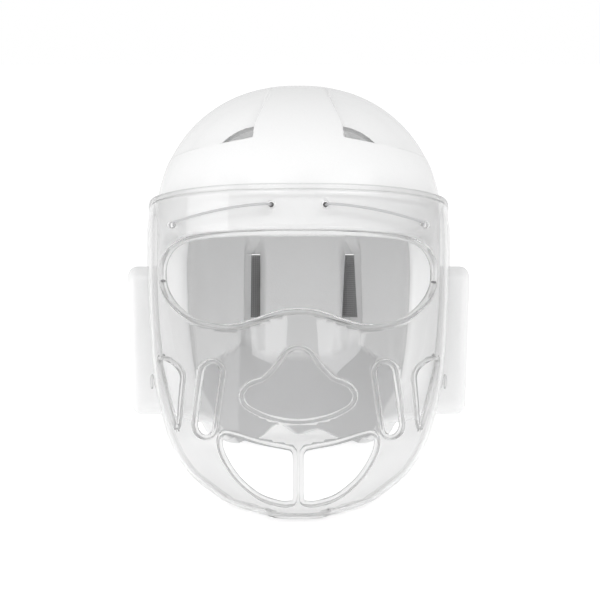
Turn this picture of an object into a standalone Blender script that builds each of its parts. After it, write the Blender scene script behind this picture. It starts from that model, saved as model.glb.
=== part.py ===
"""A karate head guard of dipped foam with a clear face shield, resting on a flat surface.

Everything is drawn as worn, with the head upright: x is side to side, y runs from the face (-)
to the nape (+) and z is up. Sizes are in metres. At the end one empty leans the whole part back
until it stands on the shield's chin and the guard's nape, as it does by itself on a table.
"""
import math

import bmesh
import bpy
import numpy as np
from mathutils import Vector

# Foam guard
GUARD_HALF_WIDTH = 0.098
GUARD_HALF_DEPTH = 0.118
GUARD_CENTRE_Y = 0.006
CROWN_HEIGHT = 0.148
SHOULDER_HEIGHT = 0.050
GUARD_TAPER = 0.181
GUARD_DROP = 0.112
GUARD_BOTTOM = -GUARD_DROP
WALL = 0.0195
HEAD_TAPER = 0.167
SQUARENESS = 2.4
DOME_POWER = 2.15
TAPER_POWER = 3.0
GUARD_COLUMNS = 48

# Edges of the foam
BROW_EDGE_HEIGHT = 0.041
TEMPLE_EDGE_Y = -0.042
BROW_CORNER_RADIUS = 0.016
JAW_CORNER_RADIUS = 0.024
JAW_EDGE_HEIGHT = -0.078
NAPE_START_Y = 0.060

# Raised brow band and centre strap, with the scoops and vents behind them
DOME_HEIGHT = CROWN_HEIGHT - SHOULDER_HEIGHT
STRAP_HALF_WIDTH = 0.29 * GUARD_HALF_WIDTH
BAND_TOP_HEIGHT = SHOULDER_HEIGHT + 0.557 * DOME_HEIGHT
BAND_FALL = 0.15
SCOOP_DEPTH = 0.0095
SCOOP_RISE = 0.347 * DOME_HEIGHT
VENT_LENGTH = 0.021
VENT_RISE = 0.0105
VENT_SILL = 0.001

# Rear tongue, the gaps beside it, and the thinner nape below the pads
TONGUE_HALF_WIDTH = 0.030
GAP_WIDTH = 0.009
GAP_TOP = 0.0385
GAP_HEIGHT = 0.0545
PAD_END_HEIGHT = -0.038
NAPE_RECESS = 0.006
ARCH_WIDTH = 0.034
ARCH_RISE = 0.0065
ARCH_X = 0.023

# Rear closure strap
REAR_STRAP_WIDTH = 0.048
REAR_STRAP_HEIGHT = 0.011
REAR_STRAP_THICKNESS = 0.002
REAR_STRAP_COLUMNS = 5

# Ear guards
EAR_LENGTH = 0.102
EAR_DEPTH = 0.072
EAR_CENTRE_Y = 0.023
EAR_CENTRE_Z = -0.027
EAR_THICKNESS = 0.0195
EAR_HALF_SPAN = GUARD_HALF_WIDTH + EAR_THICKNESS
EAR_LEAN_IN = 0.003
EAR_CORNER = 0.009
EAR_EDGE = 0.004
HEARING_HOLE = 0.009
HEARING_HOLE_PITCH = 0.020

# Clear face shield
SHIELD_TOP = 0.0736
SHIELD_BOTTOM = -0.1346
SHIELD_STAND_OFF = 0.0025
SHIELD_HALF_WIDTH = GUARD_HALF_WIDTH + SHIELD_STAND_OFF
SHIELD_THICKNESS = 0.0025
SHIELD_FRONT = -1.25 * GUARD_HALF_DEPTH
SHIELD_SQUARENESS = 2.3
SHIELD_TOP_DROP = 0.006
SHIELD_CORNER_DROP = 0.011
SHIELD_COLUMNS = 34
SHIELD_ROWS = 28

# Openings of the shield
EYE_HALF_WIDTH = 0.0885
EYE_HEIGHT = 0.0621
EYE_BOTTOM = -0.0175
MOUTH_HALF_WIDTH = 0.033
MOUTH_HEIGHT = 0.0415
MOUTH_BOTTOM = -0.0712
CHEEK_SLOT_LENGTH = 0.044
CHEEK_SLOT_WIDTH = 0.0115
CHEEK_SLOT_X = 0.0555
CHEEK_SLOT_Z = -0.0605
CHEEK_SLOT_TILT = math.radians(7.8)
SIDE_SLOT_HEIGHT = 0.040
SIDE_SLOT_WIDTH = 0.0155
SIDE_SLOT_X = 0.0735
SIDE_SLOT_TOP = -0.038
CHIN_OPENING_WIDTH = 0.0436
CHIN_OPENING_HEIGHT = 0.0408
CHIN_RIB_WIDTH = 0.0068
CHIN_OPENING_BOTTOM = -0.1228

# Trim, laces and fasteners
TRIM_WIDTH = 0.0032
TRIM_OVERHANG = 0.0012
LACE_DIAMETER = 0.0016
LACE_HOLE = 0.0050
LACE_INNER_X = 0.0170
LACE_OUTER_X = 0.0810
LACE_INNER_Z = 0.0605
LACE_OUTER_Z = 0.0495
LACE_BOW = 0.0022
FASTENER_HEAD = 0.010
FASTENER_SHANK = 0.004
FASTENER_HEAD_THICKNESS = 0.0022
FASTENER_Y = -0.030
FASTENER_Z = -0.054

# Fit and pose
GAP = 0.0003
SOFT_GAP = 0.0005
LEAN_BACK = math.radians(10.3)
FLOOR_TRIM = 0.0008

# Heights from the top edge (1) to the chin (0), with the half width, reach to the front and
# place of the rear edge at each, as shares of the shield's half width and front reach.
SHIELD_SECTIONS = (
    # height, half_width, front, rear
    (1.000, 0.985, 0.790, 0.115),
    (0.920, 0.998, 0.800, 0.115),
    (0.843, 1.000, 0.812, 0.115),
    (0.743, 1.000, 0.832, 0.115),
    (0.646, 0.996, 0.868, 0.115),
    (0.550, 0.986, 0.912, 0.115),
    (0.454, 0.970, 0.953, 0.125),
    (0.358, 0.940, 0.984, 0.150),
    (0.272, 0.888, 0.998, 0.205),
    (0.199, 0.828, 1.000, 0.285),
    (0.152, 0.769, 0.990, 0.345),
    (0.108, 0.681, 0.970, 0.440),
    (0.065, 0.551, 0.940, 0.530),
    (0.044, 0.471, 0.915, 0.590),
    (0.025, 0.357, 0.880, 0.645),
    (0.009, 0.210, 0.830, 0.690),
    (0.002, 0.100, 0.790, 0.715),
    (0.000, 0.050, 0.760, 0.730),
)

# Right half of the eye window, from the top middle to the bottom middle.
EYE_HALF_OUTLINE = (
    # out, up
    (0.000, 1.000),
    (0.450, 0.990),
    (0.750, 0.955),
    (0.900, 0.880),
    (0.980, 0.730),
    (1.000, 0.570),
    (0.980, 0.395),
    (0.900, 0.220),
    (0.770, 0.080),
    (0.610, 0.010),
    (0.450, 0.000),
    (0.290, 0.060),
    (0.135, 0.135),
    (0.000, 0.155),
)

# Right half of the nose and mouth opening, from the top middle to the bottom middle.
MOUTH_HALF_OUTLINE = (
    # out, up
    (0.000, 1.000),
    (0.175, 0.942),
    (0.290, 0.814),
    (0.450, 0.670),
    (0.630, 0.547),
    (0.820, 0.489),
    (0.940, 0.431),
    (1.000, 0.328),
    (0.940, 0.220),
    (0.780, 0.140),
    (0.475, 0.053),
    (0.000, 0.000),
)

# Right side slot, whose point hangs down.
SIDE_SLOT_OUTLINE = (
    # out, up
    (0.00, 0.62),
    (0.00, 0.80),
    (0.30, 0.93),
    (0.75, 1.00),
    (1.00, 0.97),
    (0.90, 0.80),
    (0.55, 0.35),
    (0.28, 0.04),
    (0.18, 0.00),
    (0.13, 0.08),
)

# Right chin opening: straight beside the rib, swept along the shield's lower edge.
CHIN_OPENING_OUTLINE = (
    # out, up
    (0.000, 0.40),
    (0.000, 0.68),
    (0.028, 0.78),
    (0.117, 0.81),
    (0.470, 0.88),
    (0.860, 0.99),
    (0.965, 0.99),
    (1.000, 0.90),
    (0.945, 0.69),
    (0.750, 0.375),
    (0.470, 0.120),
    (0.200, 0.012),
    (0.060, 0.004),
    (0.005, 0.07),
)


# Forms shared by the pieces

def dome_share(height, top, taper):
    """Share of the full width at a height: a rounded dome above the shoulder, a taper below."""
    height = np.asarray(height, float)
    rise = np.clip((height - SHOULDER_HEIGHT) / (top - SHOULDER_HEIGHT), 0.0, 1.0)
    fall = np.clip((SHOULDER_HEIGHT - height) / taper, 0.0, 0.97)
    dome = (1.0 - rise ** DOME_POWER) ** (1.0 / DOME_POWER)
    skirt = (1.0 - fall ** TAPER_POWER) ** (1.0 / TAPER_POWER)
    return np.where(height > SHOULDER_HEIGHT, dome, skirt)


def guard_point(angle, height, grow=0.0):
    """Point on the guard's outer form; angle 0 faces forward and turns towards +x."""
    share = dome_share(height, CROWN_HEIGHT + grow, GUARD_TAPER)
    power = 2.0 / SQUARENESS
    across = math.copysign(abs(math.sin(angle)) ** power, math.sin(angle))
    along = math.copysign(abs(math.cos(angle)) ** power, math.cos(angle))
    x = (GUARD_HALF_WIDTH + grow) * share * across
    y = GUARD_CENTRE_Y - (GUARD_HALF_DEPTH + grow) * share * along
    return Vector((x, y, height))


def guard_front_y(x, height):
    """Depth of the guard's outer form in front, straight ahead of x at a height."""
    share = float(dome_share(height, CROWN_HEIGHT, GUARD_TAPER))
    inside = max(0.0, 1.0 - (abs(x) / (GUARD_HALF_WIDTH * share)) ** SQUARENESS)
    return GUARD_CENTRE_Y - GUARD_HALF_DEPTH * share * inside ** (1.0 / SQUARENESS)


def guard_side_x(y, height):
    """Half width of the guard's outer form at a depth and a height."""
    share = float(dome_share(height, CROWN_HEIGHT, GUARD_TAPER))
    inside = 1.0 - (abs(y - GUARD_CENTRE_Y) / (GUARD_HALF_DEPTH * share)) ** SQUARENESS
    return GUARD_HALF_WIDTH * share * max(0.0, inside) ** (1.0 / SQUARENESS)


def shield_section(height):
    """Half width, front depth and rear edge depth of the shield at a height."""
    rows = np.array(SHIELD_SECTIONS)[::-1]
    share = (height - SHIELD_BOTTOM) / (SHIELD_TOP - SHIELD_BOTTOM)
    half_width = SHIELD_HALF_WIDTH * np.interp(share, rows[:, 0], rows[:, 1])
    front = SHIELD_FRONT * np.interp(share, rows[:, 0], rows[:, 2])
    rear = SHIELD_FRONT * np.interp(share, rows[:, 0], rows[:, 3])
    return half_width, front, rear


def shield_y(x, height):
    """Depth of the shield's middle surface at x and a height."""
    half_width, front, rear = shield_section(height)
    inside = max(0.0, 1.0 - (abs(x) / half_width) ** SHIELD_SQUARENESS)
    return rear + (front - rear) * inside ** (1.0 / SHIELD_SQUARENESS)


def smooth_loop(points, steps):
    """Closed curve through the points, each span a cubic with the chords as its slopes."""
    points = np.array(points, float)
    before = np.roll(points, 1, axis=0)
    after = np.roll(points, -1, axis=0)
    beyond = np.roll(points, -2, axis=0)
    t = (np.arange(steps) / steps)[None, :, None]
    start, end = points[:, None], after[:, None]
    leave, arrive = (after - before)[:, None] / 2, (beyond - points)[:, None] / 2
    curve = ((2 * t**3 - 3 * t**2 + 1) * start + (t**3 - 2 * t**2 + t) * leave
             + (3 * t**2 - 2 * t**3) * end + (t**3 - t**2) * arrive)
    return curve.reshape(-1, 2)


def mirrored_half(rows, half_width, height, bottom):
    """Whole loop from the table of its right half, top middle first."""
    right = [(out * half_width, bottom + up * height) for out, up in rows]
    left = [(-x, z) for x, z in right[-2:0:-1]]
    return right + left


def on_side(rows, side, inner_x, bottom, width, height):
    """Loop on one side of the shield from a table that starts at its inner edge."""
    return [(side * (inner_x + out * width), bottom + up * height) for out, up in rows]


# Making solids

def clear_scene():
    for old in list(bpy.data.objects):
        bpy.data.objects.remove(old, do_unlink=True)


def surface_material(name, colour, roughness, transmission=0.0):
    material = bpy.data.materials.new(name)
    material.use_nodes = True
    shader = material.node_tree.nodes["Principled BSDF"]
    shader.inputs["Base Color"].default_value = (*colour, 1.0)
    shader.inputs["Roughness"].default_value = roughness
    shader.inputs["Metallic"].default_value = 0.0
    shader.inputs["Transmission Weight"].default_value = transmission
    return material


def add_object(name, mesh_builder, material=None, smooth=True):
    """Object whose mesh mesh_builder draws into an empty bmesh, with its faces turned outwards."""
    mesh = bpy.data.meshes.new(name)
    bm = bmesh.new()
    mesh_builder(bm)
    bmesh.ops.recalc_face_normals(bm, faces=bm.faces)
    bm.to_mesh(mesh)
    bm.free()
    piece = bpy.data.objects.new(name, mesh)
    bpy.context.collection.objects.link(piece)
    piece.parent = bpy.data.objects["resting_pose"]
    if material:
        mesh.materials.append(material)
    if smooth:
        mesh.shade_smooth()
        mesh.set_sharp_from_angle(angle=math.radians(40))
    return piece


def add_cutter(name, mesh_builder):
    cutter = add_object(name, mesh_builder, smooth=False)
    cutter.hide_render = True
    cutter.display_type = "WIRE"
    return cutter


def boolean(piece, cutter, operation="DIFFERENCE"):
    modifier = piece.modifiers.new(cutter.name, "BOOLEAN")
    modifier.object = cutter
    modifier.operation = operation
    modifier.solver = "EXACT"


def ring_stack(bm, rings, closed=False):
    """Skin over rings of points; open stacks get a face on each end."""
    loops = [[bm.verts.new(point) for point in ring] for ring in rings]
    pairs = list(zip(loops, loops[1:]))
    if closed:
        pairs.append((loops[-1], loops[0]))
    for low, high in pairs:
        for i in range(len(low)):
            j = (i + 1) % len(low)
            bm.faces.new((low[i], low[j], high[j], high[i]))
    if not closed:
        bm.faces.new(loops[0][::-1])
        bm.faces.new(loops[-1])
    return loops


def prism(outline, axis, low, high):
    """Builder of a prism: the outline's two numbers fill the axes other than the given one."""
    def build(bm):
        rings = []
        for place in (low, high):
            ring = []
            for first, second in outline:
                point = [first, second]
                point.insert(axis, place)
                ring.append(point)
            rings.append(ring)
        ring_stack(bm, rings)
    return build


def box(low, high):
    outline = [(low[0], low[1]), (high[0], low[1]), (high[0], high[1]), (low[0], high[1])]
    return prism(outline, 2, low[2], high[2])


def rounded_outline(corners, steps=5):
    """Closed outline of corner points, each with a radius that an arc of steps rounds off."""
    outline = []
    count = len(corners)
    for i, (x, y, radius) in enumerate(corners):
        corner = Vector((x, y))
        before = (Vector(corners[i - 1][:2]) - corner).normalized()
        after = (Vector(corners[(i + 1) % count][:2]) - corner).normalized()
        half = before.angle(after) / 2
        if radius == 0:
            outline.append((x, y))
            continue
        centre = corner + (before + after).normalized() * radius / math.sin(half)
        start = corner + before * radius / math.tan(half) - centre
        end = corner + after * radius / math.tan(half) - centre
        sweep = start.angle_signed(end)
        for step in range(steps + 1):
            turn = -sweep * step / steps
            outline.append((centre.x + start.x * math.cos(turn) - start.y * math.sin(turn),
                            centre.y + start.x * math.sin(turn) + start.y * math.cos(turn)))
    return outline


def circle(centre_a, centre_b, radius, sides):
    turns = [2 * math.pi * i / sides for i in range(sides)]
    return [(centre_a + radius * math.cos(t), centre_b + radius * math.sin(t)) for t in turns]


# Foam guard

def guard_heights():
    low = list(np.linspace(GUARD_BOTTOM, SHOULDER_HEIGHT, 9))
    rises = [math.sin(math.radians(t)) for t in (9, 18, 27, 36, 45, 54, 63, 71, 78, 84)]
    return low + [SHOULDER_HEIGHT + rise * (CROWN_HEIGHT - SHOULDER_HEIGHT) for rise in rises]


def guard_form(grow):
    """Builder of the guard's outer form as one closed solid, grown evenly."""
    def build(bm):
        rings = []
        for height in guard_heights():
            turns = [2 * math.pi * i / GUARD_COLUMNS for i in range(GUARD_COLUMNS)]
            rings.append([guard_point(turn, height, grow) for turn in turns])
        loops = [[bm.verts.new(point) for point in ring] for ring in rings]
        for low, high in zip(loops, loops[1:]):
            for i in range(GUARD_COLUMNS):
                j = (i + 1) % GUARD_COLUMNS
                bm.faces.new((low[i], low[j], high[j], high[i]))
        bm.faces.new(loops[0][::-1])
        crown = bm.verts.new((0.0, GUARD_CENTRE_Y, CROWN_HEIGHT + grow))
        for i in range(GUARD_COLUMNS):
            bm.faces.new((loops[-1][i], loops[-1][(i + 1) % GUARD_COLUMNS], crown))
    return build


def head_form(spare):
    """Builder of the space for the head, made larger by spare, running out below the guard."""
    top = CROWN_HEIGHT - WALL

    def build(bm):
        low = list(np.linspace(GUARD_BOTTOM - WALL, SHOULDER_HEIGHT, 9))
        rises = [math.sin(math.radians(t)) for t in (12, 24, 36, 48, 60, 71, 81)]
        heights = low + [SHOULDER_HEIGHT + rise * (top - SHOULDER_HEIGHT) for rise in rises]
        power = 2.0 / SQUARENESS
        loops = []
        for height in heights:
            share = float(dome_share(max(height, GUARD_BOTTOM), top, HEAD_TAPER))
            half_width = (GUARD_HALF_WIDTH - WALL) * share + spare
            half_depth = (GUARD_HALF_DEPTH - WALL) * share + spare
            ring = []
            for i in range(GUARD_COLUMNS):
                turn = 2 * math.pi * i / GUARD_COLUMNS
                across = math.copysign(abs(math.sin(turn)) ** power, math.sin(turn))
                along = math.copysign(abs(math.cos(turn)) ** power, math.cos(turn))
                point = (half_width * across, GUARD_CENTRE_Y - half_depth * along, height)
                ring.append(bm.verts.new(point))
            loops.append(ring)
        for below, above in zip(loops, loops[1:]):
            for i in range(GUARD_COLUMNS):
                j = (i + 1) % GUARD_COLUMNS
                bm.faces.new((below[i], below[j], above[j], above[i]))
        bm.faces.new(loops[0][::-1])
        crown = bm.verts.new((0.0, GUARD_CENTRE_Y, top + spare))
        for i in range(GUARD_COLUMNS):
            bm.faces.new((loops[-1][i], loops[-1][(i + 1) % GUARD_COLUMNS], crown))
    return build


def guard_edge_outline():
    """Side view of what the face opening and the jaw cut away from the foam."""
    far = 2 * GUARD_HALF_DEPTH
    deep = 2 * GUARD_BOTTOM
    jaw_y = (TEMPLE_EDGE_Y + NAPE_START_Y) / 2
    corners = (
        (-far, BROW_EDGE_HEIGHT, 0),
        (TEMPLE_EDGE_Y, BROW_EDGE_HEIGHT, BROW_CORNER_RADIUS),
        (TEMPLE_EDGE_Y, JAW_EDGE_HEIGHT, JAW_CORNER_RADIUS),
        (jaw_y, JAW_EDGE_HEIGHT, JAW_CORNER_RADIUS),
        (NAPE_START_Y, GUARD_BOTTOM + WALL, JAW_CORNER_RADIUS / 2),
        (NAPE_START_Y + WALL, deep, 0),
        (-far, deep, 0),
    )
    return rounded_outline(corners)


def scoop_point(side, u, v):
    """Point on the dome behind the band: u runs out from the strap, v up from the band."""
    rise = SCOOP_RISE * (1.0 - 0.45 * u)
    height = BAND_TOP_HEIGHT + v * rise
    reach = GUARD_HALF_WIDTH * float(dome_share(height, CROWN_HEIGHT, GUARD_TAPER)) * 0.95
    x = STRAP_HALF_WIDTH + u * (reach - STRAP_HALF_WIDTH)
    height -= BAND_FALL * (x - STRAP_HALF_WIDTH) * (1.0 - v)
    return Vector((side * x, guard_front_y(x, height), height))


def scoop_normal(point):
    return Vector((point.x / GUARD_HALF_WIDTH ** 2,
                   (point.y - GUARD_CENTRE_Y) / GUARD_HALF_DEPTH ** 2,
                   (point.z - SHOULDER_HEIGHT) / (CROWN_HEIGHT - SHOULDER_HEIGHT) ** 2)).normalized()


def scoop_cut(side):
    """Builder of the hollow behind the band: steep at band and strap, fading out beyond."""
    steps_u, steps_v = 9, 6

    def build(bm):
        sheets = []
        for outward in (True, False):
            sheet = []
            for i in range(steps_u + 1):
                u = i / steps_u
                row = []
                for j in range(steps_v + 1):
                    v = j / steps_v
                    point = scoop_point(side, u, v)
                    fade = (1.0 - v * v) * (1.0 - u * u)
                    depth = SCOOP_DEPTH * fade - FLOOR_TRIM
                    shift = SCOOP_DEPTH if outward else -depth
                    row.append(bm.verts.new(point + scoop_normal(point) * shift))
                sheet.append(row)
            sheets.append(sheet)
        for sheet in sheets:
            for i in range(steps_u):
                for j in range(steps_v):
                    bm.faces.new((sheet[i][j], sheet[i + 1][j], sheet[i + 1][j + 1], sheet[i][j + 1]))
        border = ([(i, 0) for i in range(steps_u)] + [(steps_u, j) for j in range(steps_v)]
                  + [(i, steps_v) for i in range(steps_u, 0, -1)] + [(0, j) for j in range(steps_v, 0, -1)])
        for (i, j), (k, m) in zip(border, border[1:] + border[:1]):
            bm.faces.new((sheets[0][i][j], sheets[0][k][m], sheets[1][k][m], sheets[1][i][j]))
    return build


def vent_cut(side):
    """Builder of the three-cornered vent at the bottom of the scoop, through the wall."""
    sill = VENT_SILL / SCOOP_RISE
    top = sill + VENT_RISE / SCOOP_RISE
    start = 2 * VENT_SILL / GUARD_HALF_WIDTH
    reach = 2 * VENT_LENGTH / GUARD_HALF_WIDTH
    corners = ((start, sill), (start + reach, sill), (start + reach / 2, (sill + top) / 2), (start, top))

    def build(bm):
        points = [scoop_point(side, u, v) for u, v in corners]
        normal = scoop_normal(points[0])
        rings = [[point + normal * shift for point in points] for shift in (WALL / 2, -2 * WALL)]
        ring_stack(bm, rings)
    return build


def nape_arch(side, rise):
    """Side-by-side arches in the nape's lower edge, seen from the front."""
    floor = -2 * CROWN_HEIGHT
    top = floor_height(GUARD_HALF_DEPTH * 0.62) + rise
    half = ARCH_WIDTH / 2
    turns = [math.pi * i / 8 for i in range(9)]
    arc = [(side * ARCH_X + half * math.cos(t), top - rise * 2 * (1 - math.sin(t))) for t in turns]
    return [(side * ARCH_X + half, floor)] + arc + [(side * ARCH_X - half, floor)]


def floor_height(y):
    """Height of the surface it rests on, below y, while the head is still upright."""
    chin_y = SHIELD_FRONT * (SHIELD_SECTIONS[-1][2] + SHIELD_SECTIONS[-1][3]) / 2
    return SHIELD_BOTTOM + (y - chin_y) * math.tan(LEAN_BACK)


def make_guard(foam, floor_cut):
    guard = add_object("head_guard", guard_form(0.0), foam)
    boolean(guard, add_cutter("cut_head", head_form(0.0)))
    recess = add_cutter("cut_nape", head_form(NAPE_RECESS))
    below_pads = add_cutter("keep_below_pads", box(
        (-GUARD_HALF_WIDTH, WALL, 2 * GUARD_BOTTOM), (GUARD_HALF_WIDTH, 2 * GUARD_HALF_DEPTH, PAD_END_HEIGHT)))
    boolean(recess, below_pads, "INTERSECT")
    boolean(guard, recess)
    span = 2 * GUARD_HALF_WIDTH
    boolean(guard, add_cutter("cut_face", prism(guard_edge_outline(), 0, -span, span)))
    for side, name in ((1, "left"), (-1, "right")):
        inner = side * TONGUE_HALF_WIDTH
        outer = side * (TONGUE_HALF_WIDTH + GAP_WIDTH)
        boolean(guard, add_cutter("cut_gap_" + name, box(
            (min(inner, outer), GUARD_CENTRE_Y + WALL, GAP_TOP - GAP_HEIGHT),
            (max(inner, outer), 2 * GUARD_HALF_DEPTH, GAP_TOP))))
        boolean(guard, add_cutter("cut_scoop_" + name, scoop_cut(side)))
        boolean(guard, add_cutter("cut_vent_" + name, vent_cut(side)))
        rise = ARCH_RISE if side < 0 else ARCH_RISE / 2
        boolean(guard, add_cutter("cut_arch_" + name, prism(
            nape_arch(side, rise), 1, GUARD_CENTRE_Y + WALL, 2 * GUARD_HALF_DEPTH)))
    for i in (-1, 0, 1):
        hole = circle(EAR_CENTRE_Y, EAR_CENTRE_Z + i * HEARING_HOLE_PITCH, HEARING_HOLE / 2, 12)
        cutter = add_cutter("cut_hearing_" + str(i + 1), prism(hole, 0, -span, span))
        boolean(guard, cutter)
    boolean(guard, floor_cut)
    return guard


# Ear guards

def make_ear_guard(side, name, foam, foam_form):
    """Rounded block that stands on the guard's side and follows its curve underneath."""
    inside_guard = GUARD_HALF_WIDTH - 1.5 * WALL
    sections = ((inside_guard, 0.0), (EAR_HALF_SPAN - EAR_EDGE, 0.0), (EAR_HALF_SPAN, EAR_EDGE))

    def build(bm):
        rings = []
        for reach, inset in sections:
            half_y = EAR_DEPTH / 2 - inset
            half_z = EAR_LENGTH / 2 - inset
            radius = max(EAR_CORNER - inset, EAR_CORNER / 3)
            outline = rounded_outline((
                (EAR_CENTRE_Y - half_y, EAR_CENTRE_Z - half_z, radius),
                (EAR_CENTRE_Y + half_y, EAR_CENTRE_Z - half_z, radius),
                (EAR_CENTRE_Y + half_y, EAR_CENTRE_Z + half_z, radius),
                (EAR_CENTRE_Y - half_y, EAR_CENTRE_Z + half_z, radius)), 4)
            ring = []
            for y, z in outline:
                lean = EAR_LEAN_IN * (EAR_CENTRE_Z + EAR_LENGTH / 2 - z) / EAR_LENGTH
                ring.append((side * (reach - lean), y, z))
            rings.append(ring)
        ring_stack(bm, rings)
    block = add_object(name, build, foam)
    boolean(block, foam_form)
    for i in (-1, 0, 1):
        boolean(block, bpy.data.objects["cut_hearing_" + str(i + 1)])
    return block


# Face shield

def shield_surface_point(turn, height):
    """Point of the middle surface; turn runs from -90 degrees to +90 degrees round the face."""
    half_width, front, rear = shield_section(height)
    power = 2.0 / SHIELD_SQUARENESS
    across = math.copysign(abs(math.sin(turn)) ** power, math.sin(turn))
    along = max(0.0, math.cos(turn)) ** power
    near_top = max(0.0, (height - EYE_BOTTOM - EYE_HEIGHT) / (SHIELD_TOP - EYE_BOTTOM - EYE_HEIGHT))
    corner = max(0.0, (abs(turn) - math.radians(66)) / math.radians(24))
    drop = SHIELD_TOP_DROP * abs(across) ** 3
    drop += SHIELD_CORNER_DROP * (1.0 - math.sqrt(max(0.0, 1.0 - corner ** 2)))
    return Vector((half_width * across, rear + (front - rear) * along, height - drop * near_top))


def make_shield(plastic, floor_cut):
    turns = [math.radians(-90 + 180 * i / SHIELD_COLUMNS) for i in range(SHIELD_COLUMNS + 1)]
    tall = SHIELD_TOP - SHIELD_BOTTOM
    heights = [SHIELD_BOTTOM + tall * (1 - math.cos(math.pi / 2 * i / SHIELD_ROWS))
               for i in range(SHIELD_ROWS + 1)]

    def build(bm):
        rows = [[bm.verts.new(shield_surface_point(turn, height)) for turn in turns]
                for height in heights]
        for low, high in zip(rows, rows[1:]):
            for i in range(SHIELD_COLUMNS):
                bm.faces.new((low[i], low[i + 1], high[i + 1], high[i]))
    shield = add_object("face_shield", build, plastic)
    wall = shield.modifiers.new("wall", "SOLIDIFY")
    wall.thickness = SHIELD_THICKNESS
    wall.offset = 0.0
    wall.use_even_offset = True
    front, rear = 2 * SHIELD_FRONT, SHIELD_FRONT / 8
    eye = smooth_loop(mirrored_half(EYE_HALF_OUTLINE, EYE_HALF_WIDTH, EYE_HEIGHT, EYE_BOTTOM), 2)
    boolean(shield, add_cutter("cut_eye_window", prism(eye, 1, front, rear)))
    mouth = smooth_loop(mirrored_half(MOUTH_HALF_OUTLINE, MOUTH_HALF_WIDTH, MOUTH_HEIGHT, MOUTH_BOTTOM), 2)
    boolean(shield, add_cutter("cut_mouth_opening", prism(mouth, 1, front, rear)))
    for side, name in ((1, "left"), (-1, "right")):
        chin = on_side(CHIN_OPENING_OUTLINE, side, CHIN_RIB_WIDTH / 2, CHIN_OPENING_BOTTOM,
                       CHIN_OPENING_WIDTH, CHIN_OPENING_HEIGHT)
        boolean(shield, add_cutter("cut_chin_" + name, prism(smooth_loop(chin, 2), 1, front, rear)))
        slot = on_side(SIDE_SLOT_OUTLINE, side, SIDE_SLOT_X, SIDE_SLOT_TOP - SIDE_SLOT_HEIGHT,
                       SIDE_SLOT_WIDTH, SIDE_SLOT_HEIGHT)
        boolean(shield, add_cutter("cut_side_slot_" + name, prism(smooth_loop(slot, 2), 1, front, rear)))
        boolean(shield, add_cutter("cut_cheek_slot_" + name, prism(cheek_slot(side), 1, front, rear)))
        for x, z, which in ((LACE_INNER_X, LACE_INNER_Z, "inner"), (LACE_OUTER_X, LACE_OUTER_Z, "outer")):
            hole = circle(side * x, z, LACE_HOLE / 2, 10)
            boolean(shield, add_cutter("cut_lace_" + which + "_" + name, prism(hole, 1, front, rear)))
        bolt = circle(FASTENER_Y, FASTENER_Z, FASTENER_SHANK / 2 + GAP, 12)
        low, high = sorted((side * GUARD_HALF_WIDTH / 2, side * GUARD_HALF_WIDTH * 1.5))
        boolean(shield, add_cutter("cut_fastener_" + name, prism(bolt, 0, low, high)))
    boolean(shield, floor_cut)
    return shield


def cheek_slot(side):
    """Outline of one tall round-ended slot, its lower end tipped outwards."""
    radius = CHEEK_SLOT_WIDTH / 2
    run = CHEEK_SLOT_LENGTH / 2 - radius
    points = []
    for end in (1, -1):
        for i in range(9):
            turn = math.pi * i / 8
            points.append((end * radius * math.cos(turn), end * (run + radius * math.sin(turn))))
    outline = []
    for x, z in points:
        turned_x = x * math.cos(CHEEK_SLOT_TILT) - z * math.sin(CHEEK_SLOT_TILT)
        turned_z = x * math.sin(CHEEK_SLOT_TILT) + z * math.cos(CHEEK_SLOT_TILT)
        outline.append((side * (CHEEK_SLOT_X + turned_x), CHEEK_SLOT_Z + turned_z))
    return outline


def inset_loop(loop, distance):
    """Loop moved inwards by a distance, each point along its own normal."""
    loop = np.array(loop)
    slope = np.roll(loop, -1, axis=0) - np.roll(loop, 1, axis=0)
    normal = np.stack((slope[:, 1], -slope[:, 0]), axis=1)
    normal /= np.linalg.norm(normal, axis=1)[:, None]
    middle = loop.mean(axis=0)
    if np.sum(normal * (middle - loop)) < 0:
        normal = -normal
    return loop + normal * distance


def make_trim(plastic):
    """Clear edging pressed round the eye window, standing a little proud of both faces."""
    eye = smooth_loop(mirrored_half(EYE_HALF_OUTLINE, EYE_HALF_WIDTH, EYE_HEIGHT, EYE_BOTTOM), 2)
    outer = inset_loop(eye, GAP)
    inner = inset_loop(eye, GAP + TRIM_WIDTH)

    def build(bm):
        rings = []
        for (outer_x, outer_z), (inner_x, inner_z) in zip(outer, inner):
            outer_y = shield_y(outer_x, outer_z)
            inner_y = shield_y(inner_x, inner_z)
            reach = SHIELD_THICKNESS / 2 + TRIM_OVERHANG
            rings.append([(outer_x, outer_y - reach, outer_z), (inner_x, inner_y - reach, inner_z),
                          (inner_x, inner_y + reach, inner_z), (outer_x, outer_y + reach, outer_z)])
        ring_stack(bm, rings, closed=True)
    return add_object("eye_window_trim", build, plastic)


# Laces, fasteners and rear strap

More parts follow.
